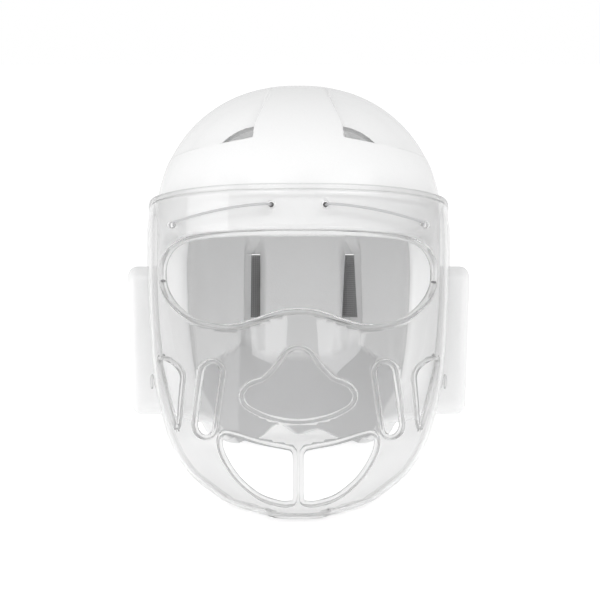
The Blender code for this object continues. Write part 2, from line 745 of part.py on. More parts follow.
def make_lace(side, name, cord):
    """Thin cord held by the shield: out of one hole, along the brow and in at the next."""
    out = SHIELD_THICKNESS / 2 + LACE_DIAMETER / 2 + SOFT_GAP
    count = 14
    points = []
    for i in range(count + 1):
        share = i / count
        x = LACE_INNER_X + (LACE_OUTER_X - LACE_INNER_X) * share
        z = LACE_INNER_Z + (LACE_OUTER_Z - LACE_INNER_Z) * share ** 1.5
        z += LACE_BOW * math.sin(math.pi * share)
        slope = (shield_y(x + GAP, z) - shield_y(x - GAP, z)) / (2 * GAP)
        normal = Vector((slope, -1.0, 0.0)).normalized()
        outside = Vector((x, shield_y(x, z), z)) + normal * out
        behind = Vector((x, guard_front_y(x, z) - LACE_DIAMETER, z))
        if i == 0:
            points.append(behind)
        points.append(outside)
        if i == count:
            points.append(behind)
    curve = bpy.data.curves.new(name, "CURVE")
    curve.dimensions = "3D"
    curve.bevel_depth = LACE_DIAMETER / 2
    curve.bevel_resolution = 2
    curve.use_fill_caps = True
    spline = curve.splines.new("POLY")
    spline.points.add(len(points) - 1)
    for knot, point in zip(spline.points, points):
        knot.co = (side * point.x, point.y, point.z, 1.0)
    curve.materials.append(cord)
    lace = bpy.data.objects.new(name, curve)
    bpy.context.collection.objects.link(lace)
    lace.parent = bpy.data.objects["resting_pose"]
    return lace


def make_fastener(side, name, plastic):
    """Snap stud: a washer on the foam, a shank through the shield and a flat head outside."""
    half_width, _front, _rear = shield_section(FASTENER_Z)
    spread = half_width - shield_section(FASTENER_Z - FASTENER_HEAD / 2)[0]
    inside = half_width - SHIELD_THICKNESS / 2 - spread - GAP
    outside = half_width + SHIELD_THICKNESS / 2 + spread + GAP
    seat = guard_side_x(FASTENER_Y, FASTENER_Z + FASTENER_SHANK) + GAP
    profile = ((seat, FASTENER_SHANK * 0.9), (inside, FASTENER_SHANK * 0.9), (inside, FASTENER_SHANK / 2),
               (outside, FASTENER_SHANK / 2), (outside, FASTENER_HEAD / 2),
               (outside + FASTENER_HEAD_THICKNESS * 0.5, FASTENER_HEAD / 2),
               (outside + FASTENER_HEAD_THICKNESS, FASTENER_HEAD * 0.32))

    def build(bm):
        rings = []
        for x, radius in profile:
            rings.append([(side * x, y, z) for y, z in circle(FASTENER_Y, FASTENER_Z, radius, 12)])
        ring_stack(bm, rings)
    return add_object(name, build, plastic)


def make_rear_strap(webbing):
    """Wide closure strap over the gaps, lying on the guard's outer side."""
    low = REAR_STRAP_HEIGHT - REAR_STRAP_WIDTH / 2
    heights = [low + REAR_STRAP_WIDTH * i / 4 for i in range(5)]
    step = 2 * math.pi / GUARD_COLUMNS
    turns = [math.pi + step * i for i in range(-REAR_STRAP_COLUMNS, REAR_STRAP_COLUMNS + 1)]

    def build(bm):
        rings = []
        for turn in turns:
            inner = [guard_point(turn, height, SOFT_GAP) for height in heights]
            outer = [guard_point(turn, height, SOFT_GAP + REAR_STRAP_THICKNESS) for height in heights]
            rings.append(inner + outer[::-1])
        ring_stack(bm, rings)
    return add_object("rear_strap", build, webbing)


# Putting it together

def lowest_and_middle(pieces):
    """Lowest height and middle depth of the pieces, as the modifiers leave them."""
    depsgraph = bpy.context.evaluated_depsgraph_get()
    points = []
    for piece in pieces:
        shown = piece.evaluated_get(depsgraph)
        mesh = shown.to_mesh()
        matrix = piece.matrix_world.copy()
        points += [matrix @ vertex.co for vertex in mesh.vertices]
        shown.to_mesh_clear()
    depths = [point.y for point in points]
    return min(point.z for point in points), (min(depths) + max(depths)) / 2


def main():
    clear_scene()
    pose = bpy.data.objects.new("resting_pose", None)
    bpy.context.collection.objects.link(pose)
    foam = surface_material("dipped_foam", (0.90, 0.90, 0.90), 0.42)
    plastic = surface_material("clear_plastic", (0.96, 0.97, 0.97), 0.05, 1.0)
    cord = surface_material("nylon_cord", (0.85, 0.85, 0.85), 0.45)
    webbing = surface_material("strap_webbing", (0.10, 0.10, 0.105), 0.80)

    far = 4 * GUARD_HALF_DEPTH
    floor_cut = add_cutter("cut_floor", prism(
        [(y, floor_height(y) + FLOOR_TRIM + z) for y, z in
         ((-far, 0.0), (far, 0.0), (far, -far), (-far, -far))], 0, -far, far))
    guard = make_guard(foam, floor_cut)
    foam_form = add_cutter("cut_guard_side", guard_form(GAP))
    nodes = [guard]
    for side, name in ((1, "left"), (-1, "right")):
        nodes.append(make_ear_guard(side, "ear_guard_" + name, foam, foam_form))
        nodes.append(make_lace(side, "brow_lace_" + name, cord))
        nodes.append(make_fastener(side, "side_fastener_" + name, plastic))
    nodes.append(make_shield(plastic, floor_cut))
    nodes.append(make_trim(plastic))
    nodes.append(make_rear_strap(webbing))

    pose.rotation_euler.x = -LEAN_BACK
    bpy.context.view_layer.update()
    lowest, middle = lowest_and_middle(nodes)
    pose.location = (0.0, -middle, -lowest)
    bpy.context.view_layer.update()


main()
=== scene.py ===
import math

import bpy
import numpy as np
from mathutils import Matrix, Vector
from mathutils.geometry import delaunay_2d_cdt


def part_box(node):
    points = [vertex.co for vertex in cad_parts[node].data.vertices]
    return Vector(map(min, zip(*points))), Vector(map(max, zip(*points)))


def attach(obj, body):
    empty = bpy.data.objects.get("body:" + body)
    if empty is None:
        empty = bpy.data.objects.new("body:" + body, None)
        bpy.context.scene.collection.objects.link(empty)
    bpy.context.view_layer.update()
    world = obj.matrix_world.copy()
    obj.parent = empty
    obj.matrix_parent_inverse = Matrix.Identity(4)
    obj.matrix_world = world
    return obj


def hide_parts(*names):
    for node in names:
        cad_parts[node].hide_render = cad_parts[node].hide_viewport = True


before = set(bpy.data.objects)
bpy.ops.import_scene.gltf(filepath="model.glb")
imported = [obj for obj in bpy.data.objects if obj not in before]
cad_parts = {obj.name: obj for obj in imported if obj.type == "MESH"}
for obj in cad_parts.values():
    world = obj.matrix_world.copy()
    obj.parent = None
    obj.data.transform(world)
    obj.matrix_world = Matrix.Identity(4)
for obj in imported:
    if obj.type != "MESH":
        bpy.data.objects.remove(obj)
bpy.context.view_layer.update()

# Camera, level with the middle of the head space and 1.2 m in front of it. The headgear leans
# back on its chin and nape, so everything is worked out head-upright and then laid back.

LEAN = math.radians(10.3)
STAND = np.array((0.0, 0.0153238, 0.1119957))


def rest(points):
    """Head-upright points as they rest: turned back about x by the lean, then lifted to the stand."""
    p = np.asarray(points, float)
    cosine, sine = math.cos(LEAN), math.sin(LEAN)
    turned = (p[..., 0], cosine * p[..., 1] + sine * p[..., 2], cosine * p[..., 2] - sine * p[..., 1])
    return np.stack(turned, -1) + STAND


def floor_height(y):
    """Height, head-upright, of the surface it rests on below y: the plane that rest() lays flat."""
    return (math.sin(LEAN) * y - STAND[2]) / math.cos(LEAN)


view = bpy.data.cameras.new("photo_view")
view.lens = 104.4
view.sensor_width = 36.0
camera = bpy.data.objects.new("photo_view", view)
camera.location = rest((0.0010, -1.2, 0.0008))
camera.rotation_euler = (math.pi / 2 - LEAN, 0.0, 0.0)
bpy.context.scene.collection.objects.link(camera)
bpy.context.scene.camera = camera


# Floor and studio light: a pale floor, a pale surround that is brightest in front and dimmer
# overhead, and three large softboxes in front.

def area_light(name, place, aim, width, height, power):
    """Rectangular softbox at a place, turned towards the aim."""
    lamp = bpy.data.lights.new(name, "AREA")
    lamp.shape = "RECTANGLE"
    lamp.size = width
    lamp.size_y = height
    lamp.energy = power
    light = bpy.data.objects.new(name, lamp)
    light.location = place
    light.rotation_euler = (Vector(aim) - Vector(place)).to_track_quat("-Z", "Y").to_euler()
    bpy.context.scene.collection.objects.link(light)


def add_node(tree, kind, settings=(), **inputs):
    """Node with its settings; inputs are named in words and take a value or another's output."""
    node = tree.nodes.new("ShaderNode" + kind)
    for name, value in dict(settings).items():
        setattr(node, name, value)
    for name, value in inputs.items():
        socket = node.inputs[name.replace("_", " ")]
        if isinstance(value, bpy.types.NodeSocket):
            tree.links.new(value, socket)
        else:
            socket.default_value = value
    return node


area_light("softbox_left", (-1.42, -0.62, 0.45), (0.0, 0.0, 0.14), 1.15, 1.3, 4.4)
area_light("softbox_front_left", (-0.42, -1.12, 1.20), (0.0, 0.0, 0.12), 0.62, 0.42, 1.6)
area_light("softbox_front_right", (0.76, -0.98, 1.12), (0.0, 0.0, 0.12), 1.15, 0.46, 3.1)

bpy.context.scene.view_settings.view_transform = "Standard"
world = bpy.data.worlds.new("studio")
world.use_nodes = True
bpy.context.scene.world = world
sky = world.node_tree
sky.nodes.clear()
direction = add_node(sky, "TexCoord")
axes = add_node(sky, "SeparateXYZ", Vector=direction.outputs["Generated"])
ahead = add_node(sky, "MapRange", Value=axes.outputs["Y"], From_Min=-1.0, From_Max=0.1,
                 To_Min=1.07, To_Max=0.82)
surround = add_node(sky, "Math", {"operation": "MULTIPLY_ADD"}, Value=axes.outputs["Z"])
surround.inputs[1].default_value = -0.26
sky.links.new(ahead.outputs["Result"], surround.inputs[2])
seen = add_node(sky, "LightPath")
blend = add_node(sky, "Mix", {"data_type": "FLOAT"}, Factor=seen.outputs["Is Camera Ray"],
                 A=surround.outputs["Value"], B=1.0)
glow = add_node(sky, "Background", Color=(1.0, 1.0, 1.0, 1.0), Strength=blend.outputs["Result"])
add_node(sky, "OutputWorld", Surface=glow.outputs["Background"])


def new_material(name, **values):
    """Material with one Principled shader, its sockets set by their names in words."""
    made = bpy.data.materials.new(name)
    made.use_nodes = True
    shader = made.node_tree.nodes["Principled BSDF"]
    for socket, value in values.items():
        shader.inputs[socket.replace("_", " ")].default_value = value
    return made


def add_piece(name, points, quads, tris=None, material=None):
    """Mesh object from head-upright points, with its place in its mesh and smooth faces."""
    tris = np.empty((0, 3), int) if tris is None else tris
    corners = np.concatenate((quads.ravel(), tris.ravel())).astype(np.int32)
    starts = np.concatenate((np.arange(len(quads)) * 4, quads.size + np.arange(len(tris)) * 3))
    placed = rest(points)
    placed[:, 2] = np.maximum(placed[:, 2], 0.0002)
    mesh = bpy.data.meshes.new(name)
    mesh.vertices.add(len(placed))
    mesh.vertices.foreach_set("co", placed.astype(np.float32).ravel())
    mesh.loops.add(len(corners))
    mesh.loops.foreach_set("vertex_index", corners)
    mesh.polygons.add(len(starts))
    mesh.polygons.foreach_set("loop_start", starts.astype(np.int32))
    mesh.polygons.foreach_set("use_smooth", np.ones(len(starts), bool))
    mesh.update(calc_edges=True)
    mesh.validate()
    if material:
        mesh.materials.append(material)
    piece = bpy.data.objects.new(name, mesh)
    bpy.context.scene.collection.objects.link(piece)
    return piece


floor_paint = new_material("floor_paint", Base_Color=(0.90, 0.90, 0.90, 1.0), Roughness=0.7,
                           Emission_Strength=0.44)
paint = floor_paint.node_tree
shown = add_node(paint, "LightPath")
lift = add_node(paint, "MapRange", Value=shown.outputs["Is Camera Ray"], To_Min=0.63)
paint.links.new(lift.outputs["Result"], paint.nodes["Principled BSDF"].inputs["Emission Color"])
floor_corners = 6.0 * np.array([(-1, -1, 0), (1, -1, 0), (1, 1, 0), (-1, 1, 0)], np.float32)
floor = add_piece("floor", np.zeros((4, 3)), np.array([[0, 1, 2, 3]]), None, floor_paint)
floor.data.vertices.foreach_set("co", floor_corners.astype(np.float32).ravel())


# Head guard: one shell of closed-cell foam dipped in white vinyl, about 20 mm thick with fully
# rounded edges. A brow band and centre strap stand proud of two scoops with a vent in each; the
# nape has a tongue between two gaps, and pads that end above its thinner lower edge.

GUARD_HALF_WIDTH = 0.098
GUARD_HALF_DEPTH = 0.118
GUARD_CENTRE_Y = 0.006
CROWN_HEIGHT = 0.148
SHOULDER_HEIGHT = 0.050
GUARD_TAPER = 0.181
HEAD_TAPER = 0.167
WALL = 0.0195
SQUARENESS = 2.4
DOME_POWER = 2.15
TAPER_POWER = 3.0
EDGE_ROLL = 0.0080
NAPE_ROLL = 0.0032
BROW_EDGE_HEIGHT = 0.041
TEMPLE_EDGE_Y = -0.042
JAW_EDGE_HEIGHT = -0.078
STRAP_HALF_WIDTH = 0.0285
BAND_TOP_HEIGHT = 0.1046
BAND_FALL = 0.15
SCOOP_DEPTH = 0.0120
SCOOP_RISE = 0.043
GAP_TOP = 0.0354
GAP_BOTTOM = -0.0122
BROW_CORNER_RADIUS = 0.034
JAW_FRONT_RADIUS, JAW_REAR_RADIUS = 0.017, 0.026
JAW_END_Y, NAPE_START_Y = 0.012, 0.070
NAPE_STEP = 0.0135
PAD_END_HEIGHT = -0.038
NAPE_RECESS = 0.008
ARCH_X = 0.0215
ARCH_WIDTH = 0.042
ARCH_RISE = 0.0065
CHANNEL_X_LEFT, CHANNEL_X_RIGHT = 0.0382, 0.0326
VENT_ROLL, GAP_ROLL, GAP_INNER_ROLL = 0.0012, 0.0045, 0.0060
HEARING_Y, HEARING_Z, HEARING_PITCH, HEARING_RADIUS = 0.023, -0.027, 0.020, 0.0045
LACE_INNER_X, LACE_INNER_Z = 0.0170, 0.0605
LACE_OUTER_X, LACE_OUTER_Z = 0.0810, 0.0495
LACE_HOLE_RADIUS = 0.0016


def signed_power(value, power):
    """A power that keeps the sign: sign(v) |v|^p."""
    return np.sign(value) * np.abs(value) ** power


def smooth_step(value, low, high):
    """0 below low, 1 above high and a cubic ease between them."""
    t = np.clip((value - low) / (high - low), 0.0, 1.0)
    return t * t * (3.0 - 2.0 * t)


def dome_share(height, top, taper):
    """Share of the full width at a height: (1 - rise^p)^(1/p) above the shoulder, a taper below."""
    rise = np.clip((height - SHOULDER_HEIGHT) / (top - SHOULDER_HEIGHT), 0.0, 1.0)
    fall = np.clip((SHOULDER_HEIGHT - height) / taper, 0.0, 0.97)
    dome = (1.0 - rise ** DOME_POWER) ** (1.0 / DOME_POWER)
    skirt = (1.0 - fall ** TAPER_POWER) ** (1.0 / TAPER_POWER)
    return np.where(height > SHOULDER_HEIGHT, dome, skirt)


def shell_point(turn, height, half_width, half_depth, top, taper):
    """Point of a shell with rounded-square sections: turn 0 faces forward and goes towards +x."""
    share = dome_share(height, top, taper)
    power = 2.0 / SQUARENESS
    x = half_width * share * signed_power(np.sin(turn), power)
    y = GUARD_CENTRE_Y - half_depth * share * signed_power(np.cos(turn), power)
    return np.stack((x, y, height), -1)


def shell_normal(points, half_width, half_depth, top, taper):
    """Outward normal: the gradient of (x/w)^n + (y/d)^n with w and d shrinking by the share."""
    x, y, z = points[..., 0], points[..., 1] - GUARD_CENTRE_Y, points[..., 2]
    step = 1e-4
    share = np.maximum(dome_share(z, top, taper), 0.02)
    slope = (dome_share(z + step, top, taper) - dome_share(z - step, top, taper)) / (2 * step)
    gx = signed_power(x / (half_width * share), SQUARENESS - 1) / (half_width * share)
    gy = signed_power(y / (half_depth * share), SQUARENESS - 1) / (half_depth * share)
    normal = np.stack((gx, gy, -slope / share), -1)
    return normal / np.linalg.norm(normal, axis=-1, keepdims=True)


def running_length(points):
    """Distance from the first point to each point along the line through them."""
    return np.concatenate(([0.0], np.cumsum(np.linalg.norm(np.diff(points, axis=0), axis=1))))


def rounded_path(corners, step):
    """Open path through corner points (x, y, radius) with arcs at the corners, evenly sampled."""
    pieces = [np.array(corners[0][:2])[None]]
    for before, here, after in zip(corners, corners[1:], corners[2:]):
        corner = np.array(here[:2])
        back = np.array(before[:2]) - corner
        ahead = np.array(after[:2]) - corner
        back, ahead = back / np.linalg.norm(back), ahead / np.linalg.norm(ahead)
        half = math.acos(np.clip(back @ ahead, -1.0, 1.0)) / 2
        reach = here[2] / math.tan(half)
        t = np.linspace(0.0, 1.0, 24)[:, None]
        start, end = corner + back * reach, corner + ahead * reach
        pieces.append((1 - t) ** 2 * start + 2 * t * (1 - t) * corner + t ** 2 * end)
    pieces.append(np.array(corners[-1][:2])[None])
    path = np.concatenate(pieces)
    length = running_length(path)
    even = np.linspace(0.0, length[-1], int(length[-1] / step) + 2)
    return np.stack([np.interp(even, length, path[:, k]) for k in (0, 1)], -1)


def guard_edge_columns():
    """Turn and height of the last outer row at each column of the left half, front to back.

    The rim is drawn unrolled, distance round the guard against height: brow, temple, jaw, nape.
    """
    fine = np.linspace(0.0, math.pi, 6001)
    plan = shell_point(fine, np.full(fine.shape, SHOULDER_HEIGHT),
                       GUARD_HALF_WIDTH, GUARD_HALF_DEPTH, CROWN_HEIGHT, GUARD_TAPER)
    round_to = running_length(plan[:, :2])

    def round_at(y):
        """Distance round the guard from its front to where its side is at y."""
        return np.interp(y, plan[:, 1], round_to)

    temple = round_at(TEMPLE_EDGE_Y) + EDGE_ROLL
    brow = BROW_EDGE_HEIGHT + EDGE_ROLL
    jaw = JAW_EDGE_HEIGHT + EDGE_ROLL
    nape_start = round_at(NAPE_START_Y) + EDGE_ROLL
    nape_low = float(floor_height(0.066)) + EDGE_ROLL
    front = np.stack((np.linspace(0.0, temple - 0.038, 86), np.full(86, brow)), -1)
    side = rounded_path((
        # distance round, height, corner radius
        (temple - 0.0372, brow, 0.0), (temple, brow, BROW_CORNER_RADIUS),
        (temple + 0.0010, jaw, JAW_FRONT_RADIUS), (round_at(JAW_END_Y), jaw, JAW_REAR_RADIUS),
        (nape_start - 0.004, jaw - NAPE_STEP, 0.016),
        (nape_start, nape_low, 0.004), (nape_start + 0.010, nape_low, 0.0)), 0.0021)
    rear = np.linspace(side[-1, 0] + 0.002, round_to[-1], 62)
    rim = np.concatenate((front, side, np.stack((rear, np.full(62, nape_low)), -1)))
    return np.interp(rim[:, 0], round_to, fine), rim[:, 1], rim[:, 0] > side[-1, 0]


half_turn, half_rim, half_nape = guard_edge_columns()
turn = np.concatenate((half_turn, -half_turn[-2:0:-1]))
rim = np.concatenate((half_rim, half_rim[-2:0:-1]))
on_nape = np.concatenate((half_nape, half_nape[-2:0:-1]))
to_nape_roll = smooth_step(np.abs(turn), math.radians(100), math.radians(122))
roll_size = EDGE_ROLL + (NAPE_ROLL - EDGE_ROLL) * to_nape_roll
columns = len(turn)
outer_form = (GUARD_HALF_WIDTH, GUARD_HALF_DEPTH, CROWN_HEIGHT, GUARD_TAPER)
inner_form = (GUARD_HALF_WIDTH - WALL, GUARD_HALF_DEPTH - WALL, CROWN_HEIGHT - WALL, HEAD_TAPER)
inner_turn = np.arctan2(0.782 * np.sin(turn), np.cos(turn))

# The arches stand on the floor under the edge's own place, so a few rounds settle the rim.
for _round in range(4):
    edge_point = shell_point(turn, rim, *outer_form)
    rise = np.where(edge_point[:, 0] < 0, ARCH_RISE, ARCH_RISE / 2)
    away = np.clip((np.abs(edge_point[:, 0]) - ARCH_X) / (ARCH_WIDTH / 2), -1.0, 1.0)
    arch = rise * np.cos(away * math.pi / 2) ** 1.4
    rim = np.where(on_nape, floor_height(edge_point[:, 1]) + roll_size + arch, rim)


def row_blocks(stops, counts, powers):
    """Heights of rows per column between stops, bunched by a power towards a block's start or end."""
    rows = []
    for top, bottom, count, power in zip(stops, stops[1:], counts, powers):
        t = np.arange(count)[:, None] / count
        t = t ** power if power >= 1 else 1 - (1 - t) ** (1 / power)
        rows.append(top + (bottom - top) * t)
    return np.concatenate(rows + [stops[-1][None]])


# Distance from the middle, and the height where the tongue or a pad ends there.
PAD_ENDS = np.array(((0.0, -0.0400), (0.024, -0.0390), (0.030, -0.034), (0.039, -0.028),
                     (0.044, -0.0345), (0.054, -0.0395), (0.062, -0.0450), (0.072, -0.0490),
                     (0.080, -0.0520)))
# Height, and half the width there of the painted shade that greys the recess below the pads.
PAINTED_SHADE_EDGE = np.array(((-0.099, 0.040), (-0.095, 0.046), (-0.086, 0.052), (-0.074, 0.056),
                        (-0.065, 0.061), (-0.048, 0.068)))


def pad_end(x):
    """Height where the pads and the tongue end inside, over the thinner nape."""
    return np.interp(np.abs(x), *PAD_ENDS.T)


def dome_heights(low, top, count, power):
    """Heights from the crown down to a height per column, as sines of evenly falling angles."""
    angle = np.arcsin((low - SHOULDER_HEIGHT) / (top - SHOULDER_HEIGHT))
    t = (np.arange(count)[:, None] + 0.35) / (count + 0.35)
    t = 1 - (1 - t) ** power
    return SHOULDER_HEIGHT + (top - SHOULDER_HEIGHT) * np.sin(math.pi / 2 + (angle - math.pi / 2) * t)


def band_line(turn):
    """Height of the brow band's upper crease: it falls away from the strap's edge outwards."""
    x = GUARD_HALF_WIDTH * 0.87 * np.abs(np.sin(turn)) ** (2.0 / SQUARENESS)
    return BAND_TOP_HEIGHT - BAND_FALL * np.maximum(0.0, x - STRAP_HALF_WIDTH)


crease = band_line(turn)
middle = np.full(columns, 0.053)
toward_nape = smooth_step(np.abs(turn), math.radians(84), math.radians(112))
outer_break = middle + (rim - middle) * 0.6
outer_break += (PAD_END_HEIGHT - outer_break) * toward_nape
outer_rows = np.concatenate((
    dome_heights(crease, CROWN_HEIGHT, 34, 1.6),
    row_blocks((crease, middle, outer_break, rim), (20, 20, 12), (1.5, 1.0, 1.0))))
outer = shell_point(turn[None], outer_rows, *outer_form)
outward = shell_normal(outer, *outer_form)


def outline_distance(x, z, outline):
    """Distance to a closed outline of corner points in the front view, negative inside it."""
    px, pz = x[..., None], z[..., None]
    a = np.array(outline)
    b = np.roll(a, -1, axis=0)
    run = b - a
    along = ((px - a[:, 0]) * run[:, 0] + (pz - a[:, 1]) * run[:, 1]) / (run ** 2).sum(1)
    along = np.clip(along, 0.0, 1.0)
    gap = np.hypot(px - a[:, 0] - along * run[:, 0], pz - a[:, 1] - along * run[:, 1]).min(-1)
    spans = (a[:, 1] > pz) != (b[:, 1] > pz)
    crossing = a[:, 0] + (pz - a[:, 1]) * run[:, 0] / np.where(run[:, 1] == 0, 1e-12, run[:, 1])
    inside = (spans & (px < crossing)).sum(-1) % 2 == 1
    return np.where(inside, -gap, gap)


def rolled_in(distance, radius):
    """Depth of a quarter-round edge at a distance from the cut: r - sqrt(r^2 - (r - d)^2)."""
    d = np.clip(distance, 0.0, radius)
    return radius - np.sqrt(radius ** 2 - (radius - d) ** 2)


def scoop_depth(points):
    """Hollow behind the band beside the strap: deepest at the corner, fading outwards and up."""
    x, z = np.abs(points[..., 0]), points[..., 2]
    strap_edge = STRAP_HALF_WIDTH - 0.0105 * smooth_step(z, 0.108, 0.142)
    out = np.clip(x - strap_edge, 0.0, None)
    above = z - (BAND_TOP_HEIGHT - BAND_FALL * np.clip(x - STRAP_HALF_WIDTH, 0.0, None))
    u = np.clip(out / 0.070, 0.0, 1.0)
    v = np.clip(above / (SCOOP_RISE * (1.0 - 0.25 * u)), 0.0, 1.0)
    fade = (1.0 - v) ** 0.8 * (1.0 - 0.76 * u ** 1.2)
    wall = smooth_step(above, 0.0, 0.0026) * smooth_step(out, 0.0, 0.0055)
    side_fade = 1.0 - smooth_step(points[..., 1], -0.050, -0.005)
    return SCOOP_DEPTH * fade * wall * side_fade


# Corners of a vent, and of the gap on each side: distance from the middle and height.
VENT = ((0.0296, 0.1054), (0.0285, 0.1134), (0.0344, 0.1122), (0.0401, 0.1098), (0.0457, 0.1062),
        (0.0505, 0.1018))
GAPS = {1: ((0.0324, GAP_BOTTOM), (0.0441, GAP_BOTTOM), (0.0416, GAP_TOP), (0.0349, GAP_TOP)),
        -1: ((0.0289, GAP_BOTTOM), (0.0362, GAP_BOTTOM), (0.0357, GAP_TOP), (0.0289, GAP_TOP))}


def gap_distance(points):
    """Distance to the gap on the same side, in the front view."""
    x, z = points[..., 0], points[..., 2]
    return np.where(x > 0, outline_distance(x, z, GAPS[1]), outline_distance(-x, z, GAPS[-1]))


side_x = np.abs(outer[..., 0])
in_front, behind = outer[..., 1] < 0, outer[..., 1] > 0.03
near_vent = in_front & (outer[..., 2] > 0.085)
near_gap = behind & (side_x < 0.06)

# The outer skin sinks in the scoops and rolls in at the cuts.
sink = scoop_depth(outer)
vent_distance = outline_distance(side_x[near_vent], outer[near_vent][:, 2], VENT)
sink[near_vent] += rolled_in(vent_distance, VENT_ROLL)
sink[near_gap] += rolled_in(gap_distance(outer[near_gap]), GAP_ROLL)
outer = outer - outward * sink[..., None]

# The inner skin has the pads, and a recess below them and along the gaps.
inner_edge = shell_point(inner_turn, rim, *inner_form)
pads = pad_end(inner_edge[:, 0])
inner_break = middle + (rim - middle) * 0.6
inner_break += (pads + 0.0035 - inner_break) * toward_nape
inner_rows = np.concatenate((
    dome_heights(middle, CROWN_HEIGHT - WALL, 12, 1.2),
    row_blocks((middle, inner_break, rim), (10, 20), (1.0, 1.5))))
inner = shell_point(inner_turn[None], inner_rows, *inner_form)
inward = -shell_normal(inner, *inner_form)
step = pad_end(inner[..., 0]) - inner[..., 2]
recess = NAPE_RECESS * (1.0 - (1.0 - np.clip(step / 0.0045 + 0.4, 0.0, 1.0)) ** 2)
channel_x = np.where(inner[..., 0] > 0, CHANNEL_X_LEFT, CHANNEL_X_RIGHT)
channel = 1.0 - smooth_step(np.abs(np.abs(inner[..., 0]) - channel_x), 0.0035, 0.0080)
channel *= smooth_step(-inner[..., 2], -0.046, -0.040)
recess = np.maximum(recess, NAPE_RECESS * channel)
at_rear = smooth_step(inner[..., 1], 0.004, 0.030)
recess *= at_rear
# Painted shade: the foam is painted greyer over the rear recess below the pad ends, inside these half
# widths.
painted_recess_shade = smooth_step(step, -0.0005, 0.0025) * at_rear
past_painted_shade = np.abs(inner[..., 0]) - np.interp(inner[..., 2], *PAINTED_SHADE_EDGE.T)
painted_recess_shade *= 1.0 - smooth_step(past_painted_shade, -0.001, 0.001)
inner_near_gap = (inner[..., 1] > 0.03) & (np.abs(inner[..., 0]) < 0.06)
recess[inner_near_gap] += rolled_in(gap_distance(inner[inner_near_gap]), GAP_INNER_ROLL)
inner = inner - inward * recess[..., None]

# The rim is a half round from the outer skin's last row to the inner one's.
outer_edge, inner_edge = outer[-1], inner[-1]
centre = (outer_edge + inner_edge) / 2
along = np.roll(centre, -1, axis=0) - np.roll(centre, 1, axis=0)
across = outer_edge - inner_edge
roll = np.cross(along, across)
roll /= np.linalg.norm(roll, axis=1, keepdims=True)
profile = np.linspace(0.0, math.pi, 15)[1:-1, None, None]
rolled = (centre + across / 2 * signed_power(np.cos(profile), 0.8)
          + roll * roll_size[:, None] * np.sin(profile) ** 0.8)


def closed_stack(rings, first, last):
    """Skin over closed rings, with a fan of triangles from a middle point at each end."""
    count, around = rings.shape[:2]
    points = np.concatenate((rings.reshape(-1, 3), np.array([first, last])))
    start = (np.arange(count - 1) * around)[:, None]
    here = np.arange(around)
    there = (here + 1) % around
    quads = np.stack((start + here, start + around + here, start + around + there, start + there), -1)
    first_point = np.full(around, count * around)
    end = (count - 1) * around
    tris = np.concatenate((np.stack((first_point, here, there), -1),
                           np.stack((first_point + 1, end + there, end + here), -1)))
    return points, quads.reshape(-1, 4), tris


def prism_cutter(name, low, high):
    """Closed straight-sided solid between two outlines of points."""
    ends = np.mean(low, axis=0), np.mean(high, axis=0)
    return add_piece(name, *closed_stack(np.array((low, high)), *ends))


def cut_away(piece, cutters):
    """Take closed cutters out of a piece for good, and keep hard edges only where it is cut."""
    for cutter in cutters:
        modifier = piece.modifiers.new(cutter.name, "BOOLEAN")
        modifier.object = cutter
        modifier.solver = "EXACT"
    made = bpy.data.meshes.new_from_object(piece.evaluated_get(bpy.context.evaluated_depsgraph_get()))
    piece.modifiers.clear()
    piece.data = made
    made.shade_smooth()
    made.set_sharp_from_angle(angle=math.radians(48))


def round_loop(x, z, radius, count):
    """Circle about a place, as pairs."""
    t = np.linspace(0.0, 2 * math.pi, count, endpoint=False)
    return np.stack((x + radius * np.cos(t), z + radius * np.sin(t)), -1)


def hearing_holes():
    """Cutters through both sides at ear height: three round holes in a row."""
    cutters = []
    for i in (-1, 0, 1):
        loop = round_loop(HEARING_Y, HEARING_Z + i * HEARING_PITCH, HEARING_RADIUS, 24)
        ring = np.column_stack((np.zeros(24), loop))
        cutters.append(prism_cutter("cut_hearing", ring - (0.2, 0, 0), ring + (0.2, 0, 0)))
    return cutters


crown_out = (0.0, GUARD_CENTRE_Y, CROWN_HEIGHT)
crown_in = (0.0, GUARD_CENTRE_Y, CROWN_HEIGHT - WALL)
guard_points, guard_quads, guard_tris = closed_stack(
    np.concatenate((outer, rolled, inner[::-1])), crown_out, crown_in)


def grain_group():
    """Fine skin of dipped or moulded plastic: noise at a scale, as a mask and a bumped normal."""
    group = bpy.data.node_groups.new("moulded_skin", "ShaderNodeTree")
    for name, way, kind in (("Scale", "INPUT", "Float"), ("Depth", "INPUT", "Float"),
                            ("Mask", "OUTPUT", "Float"), ("Normal", "OUTPUT", "Vector")):
        group.interface.new_socket(name, in_out=way, socket_type="NodeSocket" + kind)
    entry, leave = group.nodes.new("NodeGroupInput"), group.nodes.new("NodeGroupOutput")
    place = add_node(group, "TexCoord").outputs["Object"]
    fine_noise = add_node(group, "TexNoise", Vector=place, Scale=entry.outputs["Scale"], Detail=4.0)
    broad_noise = add_node(group, "TexNoise", Vector=place, Scale=26.0, Detail=2.0)
    heights = add_node(group, "Math", {"operation": "MULTIPLY_ADD"}, Value=broad_noise.outputs["Fac"])
    heights.inputs[1].default_value = 3.0
    group.links.new(fine_noise.outputs["Fac"], heights.inputs[2])
    relief = add_node(group, "Bump", Strength=0.35, Distance=entry.outputs["Depth"],
                      Height=heights.outputs["Value"])
    group.links.new(fine_noise.outputs["Fac"], leave.inputs["Mask"])
    group.links.new(relief.outputs["Normal"], leave.inputs["Normal"])
    return group


moulded_skin = grain_group()


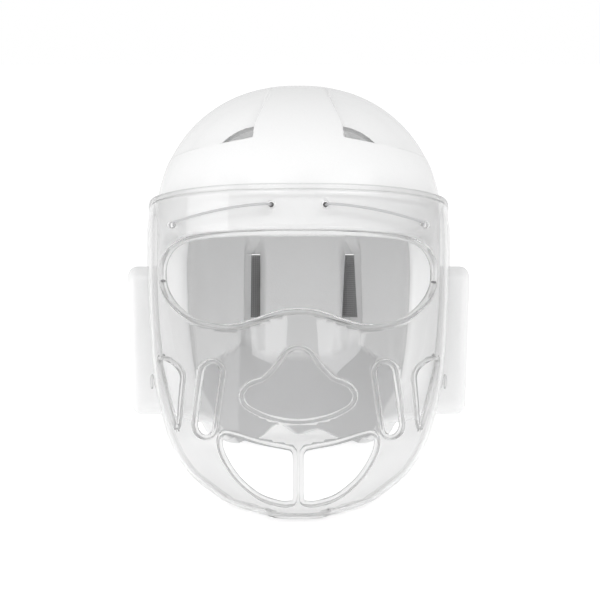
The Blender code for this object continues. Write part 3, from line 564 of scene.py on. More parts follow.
def add_skin(material, scale, depth, roughness_low, roughness_high):
    """Give a material the moulded skin: its normal, and a roughness that varies with the mask."""
    tree = material.node_tree
    shader = tree.nodes["Principled BSDF"]
    skin = add_node(tree, "Group", {"node_tree": moulded_skin}, Scale=scale, Depth=depth)
    spread = add_node(tree, "MapRange", Value=skin.outputs["Mask"],
                      To_Min=roughness_low, To_Max=roughness_high)
    tree.links.new(spread.outputs["Result"], shader.inputs["Roughness"])
    tree.links.new(skin.outputs["Normal"], shader.inputs["Normal"])
    return skin


dipped_foam = new_material("dipped_foam", Base_Color=(0.93, 0.93, 0.93, 1.0), IOR=1.5)
foam_skin = add_skin(dipped_foam, 900.0, 0.0003, 0.12, 0.24)
foam = dipped_foam.node_tree
tint = add_node(foam, "Mix", {"data_type": "RGBA"}, Factor=foam_skin.outputs["Mask"],
                A=(0.905, 0.907, 0.910, 1.0), B=(0.945, 0.945, 0.943, 1.0))
# Painted shade: the foam colour is mixed towards grey where the recess below the pads is marked.
painted_shade_attribute = add_node(foam, "Attribute", {"attribute_name": "painted_recess_shade"})
with_painted_shade = add_node(foam, "Mix", {"data_type": "RGBA"}, Factor=painted_shade_attribute.outputs["Fac"],
                  A=tint.outputs["Result"], B=(0.74, 0.74, 0.745, 1.0))
foam.links.new(with_painted_shade.outputs["Result"], foam.nodes["Principled BSDF"].inputs["Base Color"])

guard = add_piece("foam_guard", guard_points, guard_quads, guard_tris, dipped_foam)
# The painted shade share goes on the inner skin's points only.
plain_count = outer[..., 0].size + rolled[..., 0].size
painted_shade_share = np.concatenate((np.zeros(plain_count), painted_recess_shade[::-1].ravel(), np.zeros(2)))
guard.data.attributes.new("painted_recess_shade", "FLOAT", "POINT").data.foreach_set(
    "value", painted_shade_share.astype(np.float32))
cutters = hearing_holes()
for side in (1, -1):
    gap = np.array(GAPS[side]) * (side, 1)
    cutters.append(prism_cutter("cut_gap", [(x, 0.03, z) for x, z in gap[::side]],
                                [(x, 0.16, z) for x, z in gap[::side]]))
    vent = np.array(VENT) * (side, 1)
    cutters.append(prism_cutter("cut_vent", [(x, -0.14, z) for x, z in vent[::-side]],
                                [(x, -0.03, z) for x, z in vent[::-side]]))
    loop = round_loop(side * LACE_INNER_X, LACE_INNER_Z, LACE_HOLE_RADIUS, 20)
    hole = np.stack((loop[:, 0], np.full(20, -0.14), loop[:, 1]), -1)
    cutters.append(prism_cutter("cut_lace_hole", hole, hole + (0, 0.040, 0)))
cut_away(guard, cutters)
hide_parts("head_guard")
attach(guard, "root")


# Ear guards: thick foam blocks dipped in the same vinyl and bonded on the guard's sides, with rounded
# edges, a flat face that leans in a little towards its lower end and three hearing holes that go through
# to the ear.

EAR_LENGTH = 0.102
EAR_DEPTH = 0.072
EAR_CENTRE_Y = 0.023
EAR_CENTRE_Z = -0.027
EAR_HALF_SPAN = 0.1172
EAR_LEAN_IN = 0.003
EAR_ROLL = 0.0065
EAR_CORNER = 0.011
HEARING_EASE = 0.0018


def ear_outline(inset, corner):
    """Closed outline of the block's face, inset evenly, as y and z: four sides and four arcs."""
    half_y, half_z = EAR_DEPTH / 2 - inset, EAR_LENGTH / 2 - inset
    corner = max(corner - inset, 0.002)
    arcs = []
    for k, (sy, sz) in enumerate(((1, 1), (-1, 1), (-1, -1), (1, -1))):
        t = math.pi / 2 * (k + np.linspace(0.0, 1.0, 13))
        arcs.append(np.stack((sy * (half_y - corner) + corner * np.cos(t),
                              sz * (half_z - corner) + corner * np.sin(t)), -1))
    loop = np.concatenate(arcs + [arcs[0][:1]])
    length = running_length(loop)
    even = np.linspace(0.0, length[-1], 160, endpoint=False)
    return np.stack([np.interp(even, length, loop[:, k]) for k in (0, 1)], -1)


def guard_side(y, z):
    """Half width of the guard's outer form at y and z."""
    share = dome_share(z, CROWN_HEIGHT, GUARD_TAPER)
    depth_share = np.abs((y - GUARD_CENTRE_Y) / (GUARD_HALF_DEPTH * share))
    inside = np.clip(1.0 - depth_share ** SQUARENESS, 0.0, 1.0)
    return GUARD_HALF_WIDTH * share * inside ** (1.0 / SQUARENESS)


def ear_block(side):
    """Rings from the hidden back, up the sides, over the rolled edge and in across the face."""
    rings = []
    for inset in (0.030, 0.022, 0.014, 0.007, 0.0025, 0.0006):
        y, z = (ear_outline(inset, EAR_CORNER) + (EAR_CENTRE_Y, EAR_CENTRE_Z)).T
        rings.append(np.stack((guard_side(y, z) + 0.0004, y, z), -1))
    outline = ear_outline(0.0, EAR_CORNER) + (EAR_CENTRE_Y, EAR_CENTRE_Z)
    foot = guard_side(*outline.T) + 0.0012
    top = EAR_HALF_SPAN - EAR_LEAN_IN * (EAR_CENTRE_Z + EAR_LENGTH / 2 - outline[:, 1]) / EAR_LENGTH
    for share in np.linspace(0.0, 1.0, 8):
        x = foot + (top - EAR_ROLL - foot) * share
        rings.append(np.stack((x, *outline.T), -1))
    for angle in np.linspace(0.0, math.pi / 2, 10)[1:]:
        inset = EAR_ROLL * (1 - math.cos(angle))
        y, z = (ear_outline(inset, EAR_CORNER) + (EAR_CENTRE_Y, EAR_CENTRE_Z)).T
        x = top - EAR_ROLL * (1 - math.sin(angle))
        rings.append(np.stack((x, y, z), -1))
    last_y, last_z = (ear_outline(EAR_ROLL, EAR_CORNER)).T
    for share in np.linspace(1.0, 0.0, 22)[1:-1]:
        y, z = last_y * share + EAR_CENTRE_Y, last_z * share + EAR_CENTRE_Z
        lean = EAR_LEAN_IN * (EAR_CENTRE_Z + EAR_LENGTH / 2 - z) / EAR_LENGTH
        holes = [np.hypot(y - HEARING_Y, z - HEARING_Z - i * HEARING_PITCH) for i in (-1, 0, 1)]
        dip = rolled_in(np.min(holes, axis=0) - HEARING_RADIUS, HEARING_EASE)
        rings.append(np.stack((EAR_HALF_SPAN - lean - dip, y, z), -1))
    rings = np.array(rings)
    first = (guard_side(EAR_CENTRE_Y, EAR_CENTRE_Z) + 0.0004, EAR_CENTRE_Y, EAR_CENTRE_Z)
    last = (EAR_HALF_SPAN - EAR_LEAN_IN / 2, EAR_CENTRE_Y, EAR_CENTRE_Z)
    flip = np.array((side, 1.0, 1.0))
    rings, first, last = rings * flip, first * flip, last * flip
    return rings if side < 0 else rings[:, ::-1], first, last


for side, name in ((1, "left"), (-1, "right")):
    ear = add_piece("ear_block_" + name, *closed_stack(*ear_block(side)), dipped_foam)
    cut_away(ear, cutters[:3])
    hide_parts("ear_guard_" + name)
    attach(ear, "root")
for cutter in cutters:
    bpy.data.objects.remove(cutter, do_unlink=True)


# Face shield: clear polycarbonate moulded in one wall about 2.5 mm thick, turned under at the chin.
# Holes are cut for sight, breath and the laces, and a moulded bead runs round the outer edge and every
# hole but the eye window and the lace holes.

SHIELD_TOP = 0.0736
SHIELD_BOTTOM = -0.1346
SHIELD_HALF_WIDTH = 0.1005
SHIELD_FRONT = -0.1475
SHIELD_THICKNESS = 0.0024
SHIELD_SQUARENESS = 2.3
SHIELD_TOP_DROP = 0.006
SHIELD_CORNER_DROP = 0.011
EYE_HALF_WIDTH, EYE_HEIGHT, EYE_BOTTOM = 0.0885, 0.0621, -0.0175
MOUTH_HALF_WIDTH, MOUTH_HEIGHT, MOUTH_BOTTOM = 0.033, 0.0415, -0.0712
CHEEK_SLOT_RADIUS, CHEEK_SLOT_HALF_RUN, CHEEK_SLOT_TILT = 0.00575, 0.01625, math.radians(7.8)
CHEEK_SLOT_X, CHEEK_SLOT_Z = 0.0555, -0.0605
SIDE_SLOT_X, SIDE_SLOT_BOTTOM, SIDE_SLOT_WIDTH, SIDE_SLOT_HEIGHT = 0.0735, -0.078, 0.0155, 0.040
CHIN_X, CHIN_BOTTOM, CHIN_WIDTH, CHIN_HEIGHT = 0.0034, -0.1228, 0.0436, 0.0408
BEAD_WIDTH = 0.0030
BEAD_PROUD = 0.0021
RIM_WIDTH = 0.0036
LIP = 0.0009
CUT_SPARE = 0.00015
SHIELD_LACE_HOLE_RADIUS = 0.0024

# Heights as shares from the chin (0) to the top edge (1), with shares of half width, of the
# reach to the front and of the place of the rear edge.
SHIELD_SECTIONS = np.array((
    # height, half_width, front, rear
    (0.000, 0.050, 0.760, 0.730),
    (0.002, 0.100, 0.790, 0.715),
    (0.009, 0.210, 0.830, 0.690),
    (0.025, 0.357, 0.880, 0.645),
    (0.044, 0.471, 0.915, 0.590),
    (0.065, 0.551, 0.940, 0.530),
    (0.108, 0.681, 0.970, 0.440),
    (0.152, 0.769, 0.990, 0.345),
    (0.199, 0.828, 1.000, 0.285),
    (0.272, 0.888, 0.998, 0.205),
    (0.358, 0.940, 0.984, 0.150),
    (0.454, 0.970, 0.953, 0.125),
    (0.550, 0.986, 0.912, 0.115),
    (0.646, 0.996, 0.868, 0.115),
    (0.743, 1.000, 0.832, 0.115),
    (0.843, 1.000, 0.812, 0.115),
    (0.920, 0.998, 0.800, 0.115),
    (1.000, 0.985, 0.790, 0.115),
))

# Right halves of the eye window and of the mouth opening, from the top middle down.
EYE_HALF = ((0.000, 1.000), (0.450, 0.990), (0.750, 0.955), (0.900, 0.880), (0.980, 0.730),
            (1.000, 0.570), (0.980, 0.395), (0.900, 0.220), (0.770, 0.080), (0.610, 0.010),
            (0.450, 0.000), (0.290, 0.060), (0.135, 0.135), (0.000, 0.155))
MOUTH_HALF = ((0.000, 1.000), (0.175, 0.942), (0.290, 0.814), (0.450, 0.670), (0.630, 0.547),
              (0.820, 0.489), (0.940, 0.431), (1.000, 0.328), (0.940, 0.220), (0.780, 0.140),
              (0.475, 0.053), (0.000, 0.000))
SIDE_SLOT = ((0.00, 0.62), (0.00, 0.80), (0.30, 0.93), (0.75, 1.00), (1.00, 0.97), (0.90, 0.80),
             (0.55, 0.35), (0.28, 0.04), (0.18, 0.00), (0.13, 0.08))
CHIN_OPENING = ((0.000, 0.40), (0.000, 0.68), (0.028, 0.78), (0.117, 0.81), (0.470, 0.88),
                (0.860, 0.99), (0.965, 0.99), (1.000, 0.90), (0.945, 0.69), (0.750, 0.375),
                (0.470, 0.120), (0.200, 0.012), (0.060, 0.004), (0.005, 0.07))


def curve_through(where, knots, values):
    """Smooth curve through uneven knots: a cubic between each pair with limited chord slopes."""
    span = np.diff(knots)
    chord = np.diff(values, axis=0) / span[:, None]
    inner = (chord[:-1] * span[1:, None] + chord[1:] * span[:-1, None]) / (span[:-1] + span[1:])[:, None]
    slope = np.concatenate((chord[:1], inner, chord[-1:]))
    k = np.clip(np.searchsorted(knots, where) - 1, 0, len(span) - 1)
    t = ((where - knots[k]) / span[k])[..., None]
    gap = span[k][..., None]
    return ((2 * t**3 - 3 * t**2 + 1) * values[k] + (t**3 - 2 * t**2 + t) * gap * slope[k]
            + (3 * t**2 - 2 * t**3) * values[k + 1] + (t**3 - t**2) * gap * slope[k + 1])


def shield_section(height):
    """Half width, front depth and rear depth at heights, from the table of sections."""
    share = np.clip((height - SHIELD_BOTTOM) / (SHIELD_TOP - SHIELD_BOTTOM), 0.0, 1.0)
    row = curve_through(share, SHIELD_SECTIONS[:, 0], SHIELD_SECTIONS[:, 1:])
    return SHIELD_HALF_WIDTH * row[..., 0], SHIELD_FRONT * row[..., 1], SHIELD_FRONT * row[..., 2]


def shield_y(x, height):
    """Depth of the shield's middle surface: rear + (front - rear)(1 - (x/w)^n)^(1/n)."""
    half_width, front, rear = shield_section(height)
    inside = np.clip(1.0 - np.abs(x / half_width) ** SHIELD_SQUARENESS, 0.0, 1.0)
    return rear + (front - rear) * inside ** (1.0 / SHIELD_SQUARENESS)


def shield_grid_point(across, height):
    """Point at a share across (-1 to 1) of the quarter turns; the top edge drops to its corners."""
    half_width, front, rear = shield_section(height)
    power = 2.0 / SHIELD_SQUARENESS
    angle = across * math.pi / 2
    sine = signed_power(np.sin(angle), power)
    cosine = np.clip(np.cos(angle), 0.0, 1.0) ** power
    eye_top = EYE_BOTTOM + EYE_HEIGHT
    near_top = np.clip((height - eye_top) / (SHIELD_TOP - eye_top), 0.0, 1.0)
    corner = np.clip((np.abs(across) - 66 / 90) / (24 / 90), 0.0, 1.0)
    drop = SHIELD_TOP_DROP * np.abs(sine) ** 3 + SHIELD_CORNER_DROP * (1.0 - np.sqrt(1.0 - corner ** 2))
    return np.stack((half_width * sine, rear + (front - rear) * cosine, height - drop * near_top), -1)


def surface_normal(x, z):
    """Outward normal of the shield at points of the front view, by small differences."""
    step = 2e-4
    dx = (shield_y(x + step, z) - shield_y(x - step, z)) / (2 * step)
    dz = (shield_y(x, z + step) - shield_y(x, z - step)) / (2 * step)
    normal = np.stack((dx, -np.ones_like(dx), dz), -1)
    return normal / np.linalg.norm(normal, axis=-1, keepdims=True)


def smooth_loop(points, count):
    """Closed curve through the points, cubic between them, evenly sampled by length."""
    p = np.array(points, float)
    after, beyond, before = np.roll(p, -1, 0), np.roll(p, -2, 0), np.roll(p, 1, 0)
    t = (np.arange(16) / 16)[None, :, None]
    leave, arrive = (after - before)[:, None] / 2, (beyond - p)[:, None] / 2
    curve = ((2 * t**3 - 3 * t**2 + 1) * p[:, None] + (t**3 - 2 * t**2 + t) * leave
             + (3 * t**2 - 2 * t**3) * after[:, None] + (t**3 - t**2) * arrive).reshape(-1, p.shape[1])
    loop = np.concatenate((curve, curve[:1]))
    length = running_length(loop)
    even = np.linspace(0.0, length[-1], count, endpoint=False)
    return np.stack([np.interp(even, length, loop[:, k]) for k in range(p.shape[1])], -1)


def mirrored(rows, half_width, height, bottom):
    """Whole loop from the table of its right half."""
    right = [(out * half_width, bottom + up * height) for out, up in rows]
    return right + [(-x, z) for x, z in right[-2:0:-1]]


def cheek_slot(side):
    """Tall slot with round ends whose lower end is tipped outwards."""
    radius, run, tilt = CHEEK_SLOT_RADIUS, CHEEK_SLOT_HALF_RUN, CHEEK_SLOT_TILT
    t = np.linspace(0.0, math.pi, 9)
    cap = np.stack((radius * np.cos(t), run + radius * np.sin(t)), -1)
    straight = np.linspace(run, -run, 16)[1:-1]
    leg = np.stack((np.full(14, -radius), straight), -1)
    loop = np.concatenate((cap, leg, -cap, -leg))
    turned = np.stack((loop[:, 0] * math.cos(tilt) - loop[:, 1] * math.sin(tilt),
                       loop[:, 0] * math.sin(tilt) + loop[:, 1] * math.cos(tilt)), -1)
    return (turned + (CHEEK_SLOT_X, CHEEK_SLOT_Z)) * (side, 1)


def side_slot(side):
    """Pointed slot at the shield's side, from its table of shares."""
    return [(side * (SIDE_SLOT_X + out * SIDE_SLOT_WIDTH), SIDE_SLOT_BOTTOM + up * SIDE_SLOT_HEIGHT)
            for out, up in SIDE_SLOT]


def chin_opening(side):
    """Half of the chin's round opening, beside the middle rib, from its table of shares."""
    return [(side * (CHIN_X + out * CHIN_WIDTH), CHIN_BOTTOM + up * CHIN_HEIGHT)
            for out, up in CHIN_OPENING]


def loop_frame(loop):
    """Points on the shield for a front-view loop, with normals and outward in-surface directions."""
    x, z = loop.T
    points = np.stack((x, shield_y(x, z), z), -1)
    normal = surface_normal(x, z)
    along = np.roll(points, -1, 0) - np.roll(points, 1, 0)
    outward = np.cross(along, normal)
    outward /= np.linalg.norm(outward, axis=1, keepdims=True)
    middle = points.mean(axis=0)
    if ((points - middle) * outward).sum() < 0:
        outward = -outward
    return points, normal, outward


beads, holes = [], []
eye_loop = mirrored(EYE_HALF, EYE_HALF_WIDTH, EYE_HEIGHT, EYE_BOTTOM)
mouth_loop = mirrored(MOUTH_HALF, MOUTH_HALF_WIDTH, MOUTH_HEIGHT, MOUTH_BOTTOM)
openings = [(smooth_loop(eye_loop, 420), "eye"), (smooth_loop(mouth_loop, 220), "bead")]
for side in (1, -1):
    openings.append((smooth_loop(cheek_slot(side), 120), "bead"))
    openings.append((smooth_loop(side_slot(side), 120), "bead"))
    openings.append((smooth_loop(chin_opening(side), 200), "bead"))
    for x, z in ((LACE_INNER_X, LACE_INNER_Z), (LACE_OUTER_X, LACE_OUTER_Z)):
        openings.append((round_loop(side * x, z, SHIELD_LACE_HOLE_RADIUS, 24), "plain"))


def sweep_loop(centre, wide, high, half_width, half_height, steps):
    """Closed tube along a closed path with a rounded-rectangle section (superellipse, power 3)."""
    angle = np.linspace(0.0, 2 * math.pi, steps, endpoint=False)[:, None, None]
    tube = (centre + wide * half_width * signed_power(np.cos(angle), 0.7)
            + high * half_height * signed_power(np.sin(angle), 0.7))
    count = len(centre)
    ring = np.arange(steps)[:, None] * count
    next_ring = (np.arange(steps)[:, None] + 1) % steps * count
    here = np.arange(count)
    there = (here + 1) % count
    quads = np.stack((ring + here, next_ring + here, next_ring + there, ring + there), -1).reshape(-1, 4)
    points = tube.reshape(-1, 3)
    a, b, c, d = (points[quads[:, k]] - points[0] for k in range(4))
    volume = (np.cross(a, b) * c).sum() + (np.cross(a, c) * d).sum()
    return points, quads if volume > 0 else quads[:, ::-1]


for loop, kind in openings:
    points, normal, outward = loop_frame(loop)
    if kind == "eye":
        eye_frame = (points, normal, outward)
        holes.append(points + outward * CUT_SPARE)
    elif kind == "bead":
        beads.append((points + outward * BEAD_WIDTH / 2, outward, normal))
        holes.append(points + outward * (BEAD_WIDTH + CUT_SPARE))
    else:
        holes.append(points)


def across_of(x, height):
    """Share across the quarter turns at x and a height, the inverse of shield_grid_point."""
    share = np.clip(np.abs(x) / shield_section(height)[0], 0.0, 1.0)
    return np.sign(x) * np.arcsin(share ** (SHIELD_SQUARENESS / 2)) / (math.pi / 2)


share_table = np.linspace(0.0, 1.0, 500)
middle_arc = shield_grid_point(share_table, np.full(500, -0.03))
arc_table = running_length(middle_arc)


def unrolled(across):
    """Distance round the shield from its middle, by its arc length at one height."""
    return np.sign(across) * np.interp(np.abs(across), share_table, arc_table)


def rolled_up(flat_x):
    """Share across at a distance round the shield, the inverse of unrolled."""
    return np.sign(flat_x) * np.interp(np.abs(flat_x), arc_table, share_table)


def rear_share(height, inset):
    """Share across where the surface is an inset short of the rear edge."""
    _half, front, rear = shield_section(height)
    part = np.clip(inset / np.abs(front - rear), 0.0, 0.97)
    return np.arccos(part ** (SHIELD_SQUARENESS / 2)) / (math.pi / 2)


def border_loop(inset):
    """Unrolled places of the shield's whole edge, inset evenly: up one side, over and down."""
    tall = SHIELD_TOP - SHIELD_BOTTOM - LIP
    up = SHIELD_BOTTOM + LIP + tall * (1 - np.cos(np.linspace(0.0, math.pi / 2, 170)))
    up = np.clip(up, SHIELD_BOTTOM + LIP + inset * 0.45, SHIELD_TOP - inset)
    side = rear_share(up, inset)
    top = np.sin(np.linspace(1.0, -1.0, 190)[1:-1] * math.pi / 2) * side[-1]
    low = np.linspace(-side[0], side[0], 8)[1:-1]
    across = np.concatenate((side, top, -side[::-1], low))
    height = np.concatenate((up, np.full(188, up[-1]), up[::-1], np.full(6, up[0])))
    return across, height


# The wall is drawn unrolled: its edge, its holes and a grid of points between them are joined by
# triangles, the triangles in the holes are dropped, and the rest is rolled up onto the surface.
edge_across, edge_height = border_loop(RIM_WIDTH + CUT_SPARE)
outline = np.stack((unrolled(edge_across), edge_height), -1)
flat_loops = [outline]
for hole in holes:
    flat_loops.append(np.stack((unrolled(across_of(hole[:, 0], hole[:, 2])), hole[:, 2]), -1))
tall = edge_height.max() - edge_height.min()
row_heights = edge_height.min() + tall * (1 - np.cos(np.linspace(0.0, math.pi / 2, 132))) ** 0.95
grid_u, grid_h = np.meshgrid(np.linspace(-arc_table[-1], arc_table[-1], 211), row_heights)
grid_points = np.stack((grid_u.ravel(), grid_h.ravel()), -1)
limit = unrolled(rear_share(grid_points[:, 1], RIM_WIDTH + CUT_SPARE)) - 0.0006
grid_kept = np.abs(grid_points[:, 0]) < limit
grid_kept &= grid_points[:, 1] > edge_height.min() + 1e-5
grid_kept &= grid_points[:, 1] < edge_height.max() - 0.0006
for loop in flat_loops[1:]:
    close = np.all((grid_points > loop.min(0) - 0.002) & (grid_points < loop.max(0) + 0.002), axis=1)
    close = np.flatnonzero(close & grid_kept)
    grid_kept[close] = outline_distance(grid_points[close, 0], grid_points[close, 1], loop) > 0.0005
start = 0
chains = []
for loop in flat_loops:
    here = np.arange(len(loop)) + start
    chains.append(np.stack((here, np.roll(here, -1)), -1))
    start += len(loop)
plane = np.concatenate(flat_loops + [grid_points[grid_kept]])
joined = delaunay_2d_cdt(list(map(Vector, plane.tolist())), np.concatenate(chains).tolist(), [], 0, 1e-7)
plane_points = np.array([tuple(v) for v in joined[0]])
plane_faces = np.array([face for face in joined[2] if len(face) == 3])
middles = plane_points[plane_faces].mean(axis=1)
face_kept = np.abs(middles[:, 0]) < unrolled(rear_share(middles[:, 1], RIM_WIDTH + CUT_SPARE)) + 2e-5
for loop in flat_loops[1:]:
    close = np.all((middles > loop.min(0)) & (middles < loop.max(0)), axis=1)
    close = np.flatnonzero(close & face_kept)
    face_kept[close] = outline_distance(middles[close, 0], middles[close, 1], loop) > 0
plane_faces = plane_faces[face_kept]
used, plane_faces = np.unique(plane_faces, return_inverse=True)
plane_faces = plane_faces.reshape(-1, 3)
wall_points = shield_grid_point(rolled_up(plane_points[used, 0]), plane_points[used, 1])

clear_plastic = new_material(
    "clear_plastic", Base_Color=(0.985, 0.99, 0.99, 1.0), IOR=1.10, Transmission_Weight=1.0,
    Roughness=0.02, Coat_Weight=1.0, Coat_Roughness=0.02)


def let_light_through(material, strength):
    """Shadows of clear plastic are faint: a transparent shader takes the place for shadow rays."""
    tree = material.node_tree
    shader = tree.nodes["Principled BSDF"]
    output = tree.nodes["Material Output"]
    path = add_node(tree, "LightPath")
    passing = add_node(tree, "BsdfTransparent", Color=(strength, strength, strength, 1.0))
    either = add_node(tree, "MixShader", Fac=path.outputs["Is Shadow Ray"])
    tree.links.new(shader.outputs["BSDF"], either.inputs[1])
    tree.links.new(passing.outputs["BSDF"], either.inputs[2])
    tree.links.new(either.outputs["Shader"], output.inputs["Surface"])


def add_edge_tint(material, facing_grey, grazing_grey):
    """Clear plastic is greyer where more of it is looked through: at grazing angles."""
    tree = material.node_tree
    weight = add_node(tree, "LayerWeight", Blend=0.35)
    grey = add_node(tree, "MapRange", Value=weight.outputs["Facing"],
                    To_Min=facing_grey, To_Max=grazing_grey)
    tree.links.new(grey.outputs["Result"], tree.nodes["Principled BSDF"].inputs["Base Color"])


let_light_through(clear_plastic, 0.90)
add_edge_tint(clear_plastic, 0.93, 0.66)
edge_plastic = new_material(
    "clear_plastic_edge", Base_Color=(0.96, 0.965, 0.965, 1.0), IOR=1.12, Transmission_Weight=1.0,
    Roughness=0.05, Coat_Weight=0.8, Coat_Roughness=0.04)
let_light_through(edge_plastic, 0.93)
add_edge_tint(edge_plastic, 0.96, 0.50)
wall = add_piece("shield_wall", wall_points, np.empty((0, 4), int), plane_faces, clear_plastic)
thick = wall.modifiers.new("wall", "SOLIDIFY")
thick.thickness = SHIELD_THICKNESS
thick.offset = 0.0
thick.use_even_offset = False
cut_edge = new_material("clear_plastic_cut", Base_Color=(0.90, 0.90, 0.90, 1.0), Roughness=0.35)
wall.data.materials.append(cut_edge)
thick.material_offset_rim = 1
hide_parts("face_shield")
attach(wall, "root")


def border_points(inset):
    """The same edge as head-upright points on the shield."""
    across, height = border_loop(inset)
    return shield_grid_point(across, height)


outer_border, inner_border = border_points(0.00002), border_points(RIM_WIDTH)
into_wall = inner_border - outer_border
into_wall /= np.linalg.norm(into_wall, axis=1, keepdims=True)
border_along = np.roll(outer_border, -1, 0) - np.roll(outer_border, 1, 0)
border_normal = np.cross(border_along, into_wall)
border_normal /= np.linalg.norm(border_normal, axis=1, keepdims=True)
beads = [(*bead, BEAD_WIDTH / 2) for bead in beads]
beads.append(((outer_border + inner_border) / 2, into_wall, border_normal, RIM_WIDTH / 2))

bead_points, bead_quads, offset = [], [], 0
for centre_line, wide, high, half_width in beads:
    points, quads = sweep_loop(centre_line, wide, high, half_width, BEAD_PROUD, 14)
    bead_points.append(points)
    bead_quads.append(quads + offset)
    offset += len(points)
edges = add_piece("shield_edges", np.concatenate(bead_points), np.concatenate(bead_quads), None,
                  edge_plastic)
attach(edges, "root")


# Eye window trim: a soft clear edging pressed round the eye window, in an upper and a lower
# length that meet at the two ends, where a dark joint shows through.

EDGING_HALF_WIDTH = 0.0016
EDGING_HALF_HEIGHT = 0.0026
JOINT_HEIGHT = 0.0125

clear_edging = new_material(
    "clear_edging", Base_Color=(0.95, 0.955, 0.955, 1.0), IOR=1.14, Transmission_Weight=1.0,
    Roughness=0.10, Coat_Weight=0.8, Coat_Roughness=0.06)
let_light_through(clear_edging, 0.85)
add_edge_tint(clear_edging, 0.95, 0.55)
points, normal, outward = eye_frame
centre_line = points - outward * (0.0003 + EDGING_HALF_WIDTH)
trim_points, trim_quads = sweep_loop(
    centre_line, outward, normal, EDGING_HALF_WIDTH, EDGING_HALF_HEIGHT, 16)
trim = add_piece("window_edging", trim_points, trim_quads, None, clear_edging)
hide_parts("eye_window_trim")
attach(trim, "root")


def edging_joint(side):
    """Short closed plug inside the edging, where its two lengths meet at one end of the window."""
    from_end = centre_line[:, ::2] - (side * EYE_HALF_WIDTH, JOINT_HEIGHT)
    place = np.argmin(np.hypot(*from_end.T))
    near = np.arange(place, place + 2)
    angle = np.linspace(0.0, 2 * math.pi, 14, endpoint=False)[None, :, None]
    rings = (centre_line[near, None] + outward[near, None] * 0.6 * EDGING_HALF_WIDTH * np.cos(angle)
             + normal[near, None] * 0.6 * EDGING_HALF_HEIGHT * np.sin(angle))
    run = centre_line[place + 1] - centre_line[place]
    right_handed = np.cross(outward[place], normal[place]) @ run > 0
    return closed_stack(rings if right_handed else rings[:, ::-1], *centre_line[near])


joint_grey = new_material("edging_joint", Base_Color=(0.30, 0.30, 0.305, 1.0), Roughness=0.5)
add_skin(joint_grey, 2500.0, 0.0001, 0.4, 0.6)
for side, name in ((1, "left"), (-1, "right")):
    joint = add_piece("edging_joint_" + name, *edging_joint(side), joint_grey)
    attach(joint, "root")


# Brow laces: thin clear-grey nylon cord, out of one hole in the shield, along the brow and in at the
# next, its ends reaching the foam.

LACE_DIAMETER = 0.0016
LACE_LIFT = 0.00235
LACE_BOW = 0.0006


def guard_front_y(x, height):
    """Depth of the guard's outer form straight ahead of x."""
    share = dome_share(height, CROWN_HEIGHT, GUARD_TAPER)
    inside = np.clip(1.0 - np.abs(x / (GUARD_HALF_WIDTH * share)) ** SQUARENESS, 0.0, 1.0)
    return GUARD_CENTRE_Y - GUARD_HALF_DEPTH * share * inside ** (1.0 / SQUARENESS)


def sweep_tube(path, radius, steps):
    """Round tube along an open path, closed at both ends, with its own frames from an up vector."""
    along = np.gradient(path, axis=0)
    along /= np.linalg.norm(along, axis=1, keepdims=True)
    wide = np.cross(along, (0.0, 0.3, 1.0))
    wide /= np.linalg.norm(wide, axis=1, keepdims=True)
    high = np.cross(wide, along)
    angle = np.linspace(0.0, 2 * math.pi, steps, endpoint=False)[None, :, None]
    rings = path[:, None] + radius * (wide[:, None] * np.cos(angle) + high[:, None] * np.sin(angle))
    return closed_stack(rings[:, ::-1], path[0], path[-1])


nylon_cord = new_material("nylon_cord", Base_Color=(0.55, 0.55, 0.56, 1.0), Roughness=0.35, IOR=1.5)
add_skin(nylon_cord, 2500.0, 0.0002, 0.3, 0.45)
for side, name in ((1, "left"), (-1, "right")):
    share = np.linspace(0.0, 1.0, 60)
    x = LACE_INNER_X + (LACE_OUTER_X - LACE_INNER_X) * share
    z = LACE_INNER_Z + (LACE_OUTER_Z - LACE_INNER_Z) * share ** 1.4 + LACE_BOW * np.sin(math.pi * share)
    lift = surface_normal(x, z)
    outside = np.stack((x, shield_y(x, z), z), -1) + lift * LACE_LIFT
    dive = np.minimum(smooth_step(share, 0.0, 0.05), smooth_step(1 - share, 0.0, 0.05))[:, None]
    behind = np.stack((x, guard_front_y(x, z) - 0.0006, z), -1)
    path = behind + (outside - behind) * dive
    path = path * (side, 1, 1)
    lace = add_piece("lace_" + name, *sweep_tube(path, LACE_DIAMETER / 2, 10), nylon_cord)
    if side < 0:
        lace.data.flip_normals()
    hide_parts("brow_lace_" + name)
    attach(lace, "root")


# Side fasteners: clear snap studs, a washer against the foam, a shank through the shield and a
# domed head outside.

STUD_Y, STUD_Z = -0.030, -0.054


def lathe(profile, centre, side, steps):
    """Surface of revolution about x: each row is a place along x and a radius."""
    angle = np.linspace(0.0, 2 * math.pi, steps, endpoint=False)
    rows = np.array(profile)
    rings = np.stack((np.repeat(rows[:, :1], steps, 1), rows[:, 1:] * np.cos(angle) + centre[0],
                      rows[:, 1:] * np.sin(angle) + centre[1]), -1)
    first = (rows[0, 0], *centre)
    last = (rows[-1, 0], *centre)
    flip = np.array((side, 1.0, 1.0))
    rings = rings * flip
    return closed_stack(rings[:, ::-1] if side > 0 else rings, first * flip, last * flip)


for side, name in ((1, "left"), (-1, "right")):
    low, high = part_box("side_fastener_" + name)
    inside, outside = sorted((abs(low[0]), abs(high[0])))
    reach = outside - inside
    profile = ((inside + 0.0002, 0.0030), (inside + 0.0006, 0.0034), (inside + reach * 0.24, 0.0034),
               (inside + reach * 0.30, 0.0020), (outside - 0.0026, 0.0020), (outside - 0.0022, 0.0046),
               (outside - 0.0016, 0.0050), (outside - 0.0010, 0.0048), (outside - 0.0004, 0.0036),
               (outside - 0.0001, 0.0016))
    stud = add_piece("stud_" + name, *lathe(profile, (STUD_Y, STUD_Z), side, 28), clear_edging)
    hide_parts("side_fastener_" + name)
    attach(stud, "root")


# Rear strap: dark woven elastic, 48 mm wide, lying on the guard over the two gaps, with a hook
# and loop overlap and stitched ends.

